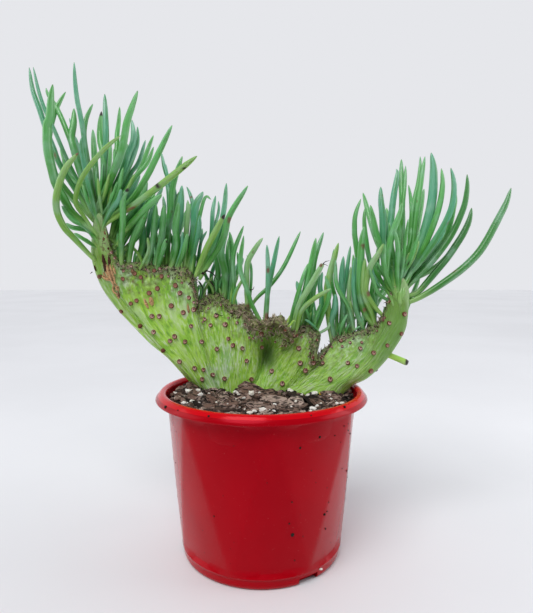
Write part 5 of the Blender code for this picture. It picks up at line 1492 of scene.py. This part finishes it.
def make_specks(context):
    """Crumbs of soil stuck to the pot."""
    tree = sight("nursery_pot")
    rng = random.Random(12)
    forms = [grain_form(seed) for seed in range(3)]
    shape = Shape("tone")
    spots = []
    for x, z, size in SPECKS:
        place, normal = look_at(tree, x, z)
        if place is not None:
            spots.append((place + normal * size * 0.15, size * 1.8))
    for _ in range(90):
        a, z = rng.uniform(0, 2 * math.pi), rng.uniform(12, 98)
        out = Vector((math.cos(a), math.sin(a), 0))
        spots.append((tree.ray_cast(out * 100 + Vector((0, 0, z)), -out)[0], rng.uniform(0.25, 0.65)))
    for place, size in spots:
        shape.stamp(rng.choice(forms), place, lying(any_way(rng), 0, (size, size, size)),
                    tone=rng.random() * 0.5)
    specks = shape.build("soil_specks", dry_tissue("soil_speck", "#120d0b", "#3a2a20", 900.0))
    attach(specks, BODY)


# Stage

def make_stage(context):
    """Pale floor, soft studio light and the camera at the photograph's angle."""
    settings = context.scene.chalk_stage
    bpy.ops.object.select_all(action="DESELECT")
    bpy.ops.mesh.primitive_plane_add(size=8)
    floor = context.active_object
    floor.name = "floor"
    mat, shader, place = material("pale_floor", 0.6, Specular_IOR_Level=0.3)
    cloud = add(mat, "TexNoise", {"Vector": place, "Scale": 3.0, "Detail": 4.0})
    tone = tuple(settings.floor)
    paint = coats(mat, tone, (cloud, 0.3, 0.7, 1.0, tinted(tone, 1.05, 1.05, 1.05)))
    finish(mat, shader, paint, cloud, 0.0005)
    floor.data.materials.append(mat)

    world = bpy.data.worlds.new("studio")
    context.scene.world = world
    world.use_nodes = True
    view = add(world, "TexCoord", None, "Generated")
    way, height = (add(world, "SeparateXYZ", {0: view}, axis) for axis in "YZ")
    low = add(world, "MapRange", {"Value": height, "From Min": 0.25, "From Max": 0.85, "To Min": 1.0,
                                  "To Max": 0.0})
    tone = coats(world, "#e6e7eb", (way, 0.5, 0.1, 0.8, "#808186"), (way, -0.2, -0.6, low, "#65666b"))
    back = world.node_tree.nodes["Background"]
    world.node_tree.links.new(tone, back.inputs["Color"])
    back.inputs["Strength"].default_value = 1.0

    aim = Vector((0, 0, 0.15))
    for kind, name, power, size, spot in (
            ("SUN", "key", settings.key, math.radians(36), (-0.35, -0.75, 1.35)),
            ("AREA", "side_left", settings.side, 0.6, (-1.0, -0.05, 0.5)),
            ("AREA", "side_right", settings.side * 2.0, 0.6, (1.0, -0.05, 0.5))):
        data = bpy.data.lights.new(name, kind)
        data.energy = power
        setattr(data, "angle" if kind == "SUN" else "size", size)
        lamp = bpy.data.objects.new(name, data)
        lamp.location = spot
        lamp.rotation_euler = (aim - Vector(spot)).to_track_quat("-Z", "Y").to_euler()
        context.scene.collection.objects.link(lamp)

    data = bpy.data.cameras.new("camera")
    data.lens = LENS
    data.sensor_width = SENSOR
    data.clip_start = 0.01
    camera = bpy.data.objects.new("camera", data)
    camera.location = VIEW * MM
    camera.rotation_euler = (VIEW_TILT, 0, 0)
    context.scene.collection.objects.link(camera)
    context.scene.camera = camera
    context.scene.view_settings.view_transform = "Standard"
    context.scene.view_settings.look = "None"


class CHALK_OT_pot(Operator):
    """Model the red nursery pot."""
    bl_idname = "chalk.pot"
    bl_label = "Pot"

    def execute(self, context):
        make_pot(context)
        return {"FINISHED"}


class CHALK_OT_mix(Operator):
    """Model the potting mix: fines, bark and perlite."""
    bl_idname = "chalk.mix"
    bl_label = "Potting mix"

    def execute(self, context):
        make_bed(context)
        make_bark(context)
        make_perlite(context)
        return {"FINISHED"}


class CHALK_OT_stem(Operator):
    """Model the crested stem with its leaf scars."""
    bl_idname = "chalk.stem"
    bl_label = "Crested stem"

    def execute(self, context):
        make_scars(make_stem(context))
        return {"FINISHED"}


class CHALK_OT_ridge(Operator):
    """Model the bristly ridge and the dry bits."""
    bl_idname = "chalk.ridge"
    bl_label = "Ridge"

    def execute(self, context):
        make_bristles(context)
        make_dry_bits(context)
        return {"FINISHED"}


class CHALK_OT_leaves(Operator):
    """Model all the leaves."""
    bl_idname = "chalk.leaves"
    bl_label = "Leaves"

    def execute(self, context):
        make_leaves(context)
        return {"FINISHED"}


class CHALK_OT_specks(Operator):
    """Model the crumbs of soil on the pot."""
    bl_idname = "chalk.specks"
    bl_label = "Soil specks"

    def execute(self, context):
        make_specks(context)
        return {"FINISHED"}


class CHALK_OT_stage(Operator):
    """Make the floor, the light and the camera."""
    bl_idname = "chalk.stage"
    bl_label = "Stage"

    def execute(self, context):
        make_stage(context)
        return {"FINISHED"}


SETTINGS = {"chalk_pot": PotSettings, "chalk_mix": MixSettings, "chalk_plant": PlantSettings,
            "chalk_stage": StageSettings}
OPERATORS = (CHALK_OT_pot, CHALK_OT_mix, CHALK_OT_stem, CHALK_OT_ridge, CHALK_OT_leaves, CHALK_OT_specks,
             CHALK_OT_stage)


class CHALK_PT_panel(Panel):
    """Settings and one button for each group of pieces."""
    bl_idname = "CHALK_PT_panel"
    bl_label = "Potted chalk sticks"
    bl_space_type = "VIEW_3D"
    bl_region_type = "UI"
    bl_category = "Plant"

    def draw(self, context):
        for title, kind in SETTINGS.items():
            for name in kind.__annotations__:
                self.layout.prop(getattr(context.scene, title), name)
        for operator in OPERATORS:
            self.layout.operator(operator.bl_idname)


CLASSES = (*SETTINGS.values(), *OPERATORS, CHALK_PT_panel)


def register():
    """Register the classes and keep their settings on the scene."""
    for item in CLASSES:
        bpy.utils.register_class(item)
    for title, kind in SETTINGS.items():
        setattr(bpy.types.Scene, title, PointerProperty(type=kind))


def unregister():
    """Undo register()."""
    for title in SETTINGS:
        delattr(bpy.types.Scene, title)
    for item in reversed(CLASSES):
        bpy.utils.unregister_class(item)


def main():
    """Model every piece in order."""
    register()
    bpy.ops.chalk.pot()
    bpy.ops.chalk.mix()
    bpy.ops.chalk.stem()
    bpy.ops.chalk.ridge()
    bpy.ops.chalk.leaves()
    bpy.ops.chalk.specks()
    bpy.ops.chalk.stage()


if __name__ == "__main__":
    main()
